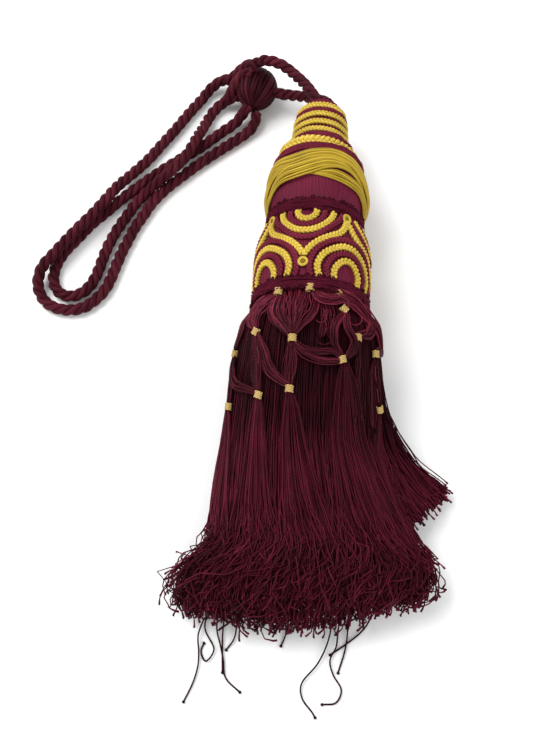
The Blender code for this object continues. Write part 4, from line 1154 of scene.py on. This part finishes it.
# bundles in front: threads, widths along it, then places as angle, y and lift
FRONT_BUNDLES = [
    (34, (8, 13, 11, 3), [(-77, -1, 1.4), (-75, -9, 1.3), (-74, -20, 1), (-73, -31.5, 0.9)]),
    (34, (10, 13, 9, 3), [(-58, -1.5, 0.8), (-59, -8.5, 1.8), (-54, -17, 2.2), (-43, -25, 3)]),
    (34, (7, 12, 9, 3), [(-38, -3, 1.2), (-44, -10, 3), (-46, -17.5, 3.2), (-42, -25, 3)]),
    (34, (5, 11, 8, 3), [(-31, -3, 1.5), (-29, -14, 3.2), (-21, -23.8, 3.4), (-13, -30.5, 3.4)]),
    (34, (12, 13, 9, 3), [(-17, -1.5, 0.8), (-15, -12, 3), (-13, -23, 3.4), (-12, -30.5, 3.4)]),
    (34, (5, 11, 8, 3), [(-2, -3, 1.5), (-2, -14.2, 3.4), (-7, -22.2, 3.6), (-12, -30.5, 3.4)]),
    (20, (3, 6, 6, 5, 3), [(1, -3.6, 2.5), (6, -9.5, 4.5), (13, -11, 5.5), (23, -9, 5.5), (30, -9, 5),
     (27, -12.4, 4.4)]),
    (26, (4, 7, 8, 8, 3), [(3, -2.8, 2.5), (20, -4.6, 4), (34, -5.8, 5), (46, -8.5, 4.6),
     (53, -15.5, 3.8), (48, -23, 3.4), (35, -26, 3)]),
    (30, (5, 10, 12, 9, 3), [(30, -1.5, 1.2), (48, -4.6, 3.2), (60, -11, 3), (70, -19, 2.6),
     (70, -26.5, 1.6), (58, -30.5, 1.2)]),
    (26, (6, 9, 9, 3), [(58, -1, 0.6), (70, -9, 1.5), (74, -19, 1.2), (72, -27, 1.4),
     (59, -30.5, 1.2)]),
    (22, (8, 12, 12), [(14, -1.5, 0.4), (14, -14, 1.4), (12, -30, 1)]),
    (20, (3, 5, 5, 3), [(25, -15.6, 4.4), (17, -23.8, 4.8), (16, -32.5, 4.5), (22, -39.6, 3.4)]),
    (20, (3, 5, 5, 3), [(26, -15.5, 4.4), (25, -23.5, 4.8), (30, -31.8, 4.5), (25, -39.5, 3.4)]),
    (14, (3, 4, 3), [(35, -29.2, 3), (33, -35, 3.5), (27, -38.8, 3.5), (22, -40.2, 3.4)]),
    (16, (3, 4, 4, 3), [(-11, -33.5, 3.4), (-3, -37.6, 3.8), (6, -38.6, 4.2), (15, -37.6, 4.4),
     (22, -39.8, 3.4)]),
    (20, (3, 5, 5, 3), [(-11, -33.8, 3.4), (-4, -39, 3.8), (5, -42.2, 4), (13, -42.6, 4),
     (22, -41, 3.4)]),
    (30, (3, 6, 6, 3), [(-12, -33.8, 3.4), (-12, -41.5, 2), (-12, -49.2, 2), (-11, -56.4, 3.2)]),
    (24, (3, 5, 5, 3), [(-40, -28, 3.2), (-33, -36.8, 2.5), (-27, -46.5, 2.3), (-19, -52.4, 2.6),
     (-11, -56.4, 3.2)]),
    (28, (3, 6, 6, 3), [(-42, -28.4, 3), (-40, -37.2, 2), (-37, -48.2, 2), (-32, -58.8, 3.2)]),
    (24, (3, 5, 5, 3), [(-72, -34.8, 1), (-65, -44, 2.4), (-55, -52.5, 3.4), (-43, -56.2, 3.4),
     (-33, -58.8, 3.2)]),
    (24, (3, 5, 5, 3), [(-73, -34.5, 0.9), (-72, -42.2, 1), (-66, -53.5, 1.8), (-63, -61.8, 2.4)]),
    (28, (3, 7, 6, 3), [(58, -33, 1.2), (60, -42.5, 1), (62, -50.8, 1.1), (63, -57.6, 1.2)]),
    (16, (3, 6, 8), [(58, -33.2, 1.2), (53, -41.2, 1.2), (55, -54, 0.2), (56, -70, 0)]),
    (16, (3, 7, 12), [(35, -29.2, 3), (37, -38, 1.4), (39, -52, 0.2), (40, -70, 0)])]
# loose ends under the last bindings: threads, angle, y and lift of the binding, angle at the
# ends, how far they spread there, and where they end
FRONT_TAILS = [
    (46, -63, -64.2, 2.6, -60, 9, -150), (60, -32, -61.4, 3.2, -33, 14, -158),
    (60, -11, -59.2, 3.2, -3, 15, -160), (90, 23, -42.2, 3.4, 38, 24, -152),
    (36, 63, -60.2, 1.2, 60, 10, -126)]
TAIL_ENDS = (-14, 14)        # least and most that an end's place differs from the given one
TAIL_TUCK = 1.5              # how far up inside the binding they start
TAIL_ROOT = 1.6              # half width there, in degrees
TAIL_FAN = 0.62              # below 1, they fan out soon
TAIL_WANDER = 1.4            # how far they stray, in degrees, and in how many waves
TAIL_WAVES = 1.1
TAIL_LIFTS = (-1.0, 0.6)     # least and most that a thread's lift differs from its binding's
TAIL_LIFT = 0.2              # the lift that they sink to, and how soon and how evenly
TAIL_SINK = 3.2
TAIL_SINK_CURVE = 0.8
# at the back the same net repeats, as angle and y: where it leaves the band, and its two rows of ties
BACK_FIRST = [(angle, -2.0) for angle in range(100, 261, 32)]
BACK_SECOND = [(angle, -32.0) for angle in range(116, 245, 32)]
BACK_THIRD = [(angle, -58.0) for angle in range(100, 229, 32)] + [(260, -60.0)]
BACK_REACH = 20              # largest angle between two ties that a bundle joins
BACK_LIFT = 1.4
# short curls of yarn that stand out of the net: angle, y, radius
CURLS = [(6, -20.5, 2.2), (10, -25, 3), (8, -31, 3.4), (34, -18, 2.6), (37, -23, 3)]
CURL_TURNS = (-0.12, 0.44)
CURL_REACH = (1.8, 0.9)
CURL_POINTS = 14
CURL_LIFT = 2.6
CURL_SQUASH = 0.8            # how long a curl is down the skirt, as a share of its width
CURL_RISE = 0.7


def over_skirt(angle, y, lift):
    """A place at an angle round the skirt, lift above its threads."""
    angle, y, lift = np.broadcast_arrays(angle, y, lift)
    place = in_skirt(np.ones(y.shape), angle, y)
    outward = in_skirt(np.full(y.shape, 1.05), angle, y) - place
    outward[..., 1] = 0.0
    return place + unit(outward) * lift[..., None]


def bundle(luck, threads, widths, stops):
    """Threads that run together through places over the skirt, spread by the widths along them."""
    path = smooth_line(np.array(stops) * [ANGLE_LENGTH, 1.0, 1.0], NET_STEP)
    angle, y, lift = path[:, 0] / ANGLE_LENGTH, path[:, 1], path[:, 2]
    run = run_along(path)
    share = run / run[-1]
    middle = over_skirt(angle, y, lift)
    out = unit(over_skirt(angle, y, lift + 1.0) - middle)
    across = unit(np.cross(ahead_along(middle), out))
    spread = np.interp(share, np.linspace(0, 1, len(widths)), widths)
    thick = np.minimum(spread, THICKEST_SHARED) * BUNDLE_FLATNESS
    lines = []
    for k in range(threads):
        place = luck.uniform(-1, 1)
        depth = luck.uniform(-1, 1) * math.sqrt(1.0 - place * place)
        wave = BUNDLE_WAVE * np.sin(math.tau * (run / luck.uniform(*BUNDLE_WAVE_LENGTHS) + luck.uniform()))
        bow = BUNDLE_BOW * luck.normal() * np.sin(math.pi * share)
        beside = (place + wave + bow) * spread / 2
        lines.append(middle + across * beside[:, None] + out * (depth * thick)[:, None])
    return lines


def binding(angle, y, lift, turn):
    """Knobbly gold thread wound in rings round a bundle, with tones along each ring that paint light on its
    bumps and shade between them.
    """
    places = over_skirt(angle, np.array([y + 1.0, y - 1.0]), lift)
    centre = places.mean(axis=0)
    out = unit(over_skirt(angle, y, lift + 1.0) - over_skirt(angle, y, lift))
    ahead = unit(places[0] - places[1])
    across = np.cross(ahead, out)
    swing = math.radians(turn)
    ahead, across = (ahead * math.cos(swing) + across * math.sin(swing),
                     across * math.cos(swing) - ahead * math.sin(swing))
    turns = np.linspace(0.0, math.tau, 21)
    rings, tones = [], []
    for k in range(BINDING_RINGS):
        share = k / (BINDING_RINGS - 1) * 2 - 1
        bumps = BINDING_BUMP * np.sin(BINDING_BUMPS * turns + math.pi * k)
        wide = BINDING_WIDTH / 2 * (1.0 + BINDING_HOLLOW * share * share) + bumps - BINDING_THREAD
        rings.append(centre + ahead * share * (BINDING_HALF - BINDING_THREAD)
                     + np.cos(turns)[:, None] * across * wide[:, None]
                     + np.sin(turns)[:, None] * out * wide[:, None] * BINDING_FLATNESS)
        # painted highlight on each bump, painted shade in the dips
        tones.append(BINDING_TONE + BINDING_PAINTED_LIGHT * bumps)
    return rings, tones


def back_bundles():
    """The net's unseen half, in an even repeat."""
    made = []
    for starts, ends in ((BACK_FIRST, BACK_SECOND), (BACK_SECOND, BACK_THIRD)):
        for angle, y in starts:
            for end_angle, end_y in ends:
                if abs(end_angle - angle) < BACK_REACH:
                    middle = ((angle + end_angle) / 2, (y + end_y) / 2, BACK_LIFT)
                    stops = [(angle, y, BACK_LIFT), middle, (end_angle, end_y, BACK_LIFT)]
                    made.append((12, (3, 6, 3), stops))
    for angle, y in BACK_THIRD:
        stops = [(angle, y, BACK_LIFT), (angle, y - 22.0, 0.8), (angle, y - 48.0, 0.2)]
        made.append((12, (3, 8, 10), stops))
    return made


def curl(angle, y, radius):
    """A short curl of yarn that opens out towards one end."""
    turns = np.linspace(CURL_TURNS[0], CURL_TURNS[1], CURL_POINTS) * -math.tau
    reach = radius * np.linspace(CURL_REACH[0], CURL_REACH[1], CURL_POINTS)
    place = over_skirt(angle, y, CURL_LIFT)
    coil = np.column_stack([reach * np.cos(turns), reach * CURL_SQUASH * np.sin(turns),
                            CURL_RISE * np.sin(turns)])
    return place + coil


def net_tail(luck, threads, angle, y, lift, end_angle, spread, end):
    """Loose ends of a bundle, which fan out and merge with the skirt."""
    share = shares()
    place = luck.uniform(-1, 1, (threads, 1))
    ends = end + luck.uniform(*TAIL_ENDS, (threads, 1))
    ys = y + TAIL_TUCK + (ends - y) * share
    fan = share ** TAIL_FAN
    angles = angle + place * TAIL_ROOT + (end_angle - angle + place * spread) * fan
    waves = share * TAIL_WAVES + luck.uniform(0, 1, (threads, 1))
    angles = angles + TAIL_WANDER * share * np.sin(math.tau * waves)
    sink = np.clip(share * TAIL_SINK, 0, 1) ** TAIL_SINK_CURVE
    lifts = lift + luck.uniform(*TAIL_LIFTS, (threads, 1)) + (TAIL_LIFT - lift) * sink
    line = over_skirt(angles, ys, lifts)
    return list(frizz(luck, line, frizz_reach(ys, share)))


def net():
    """The net's bundles and curls, its loose ends and its gold bindings."""
    luck = np.random.default_rng(7)
    threads = []
    for count, widths, stops in FRONT_BUNDLES + back_bundles():
        threads += bundle(luck, count, widths, stops)
    threads += [curl(*row) for row in CURLS]
    tails = []
    for row in FRONT_TAILS:
        tails += net_tail(luck, *row)
    fringe("net_tails", tails, luck, NET_PAINTED_SHADE)
    tones = tones_with_painted_shade(luck, threads, NET_PAINTED_SHADE)
    tubes("net_threads", threads, NET_THREAD, THREAD_SIDES, NET_SILK, tones, "net")
    rings, ring_tones = [], []
    knots = FRONT_KNOTS + [(angle, y, BACK_LIFT, 0) for angle, y in BACK_SECOND + BACK_THIRD]
    for row in knots:
        made, made_tones = binding(*row)
        rings += made
        ring_tones += made_tones
    tubes("net_bindings", rings, BINDING_THREAD, SMALL_SIDES, GOLD_BINDING, ring_tones)


net()
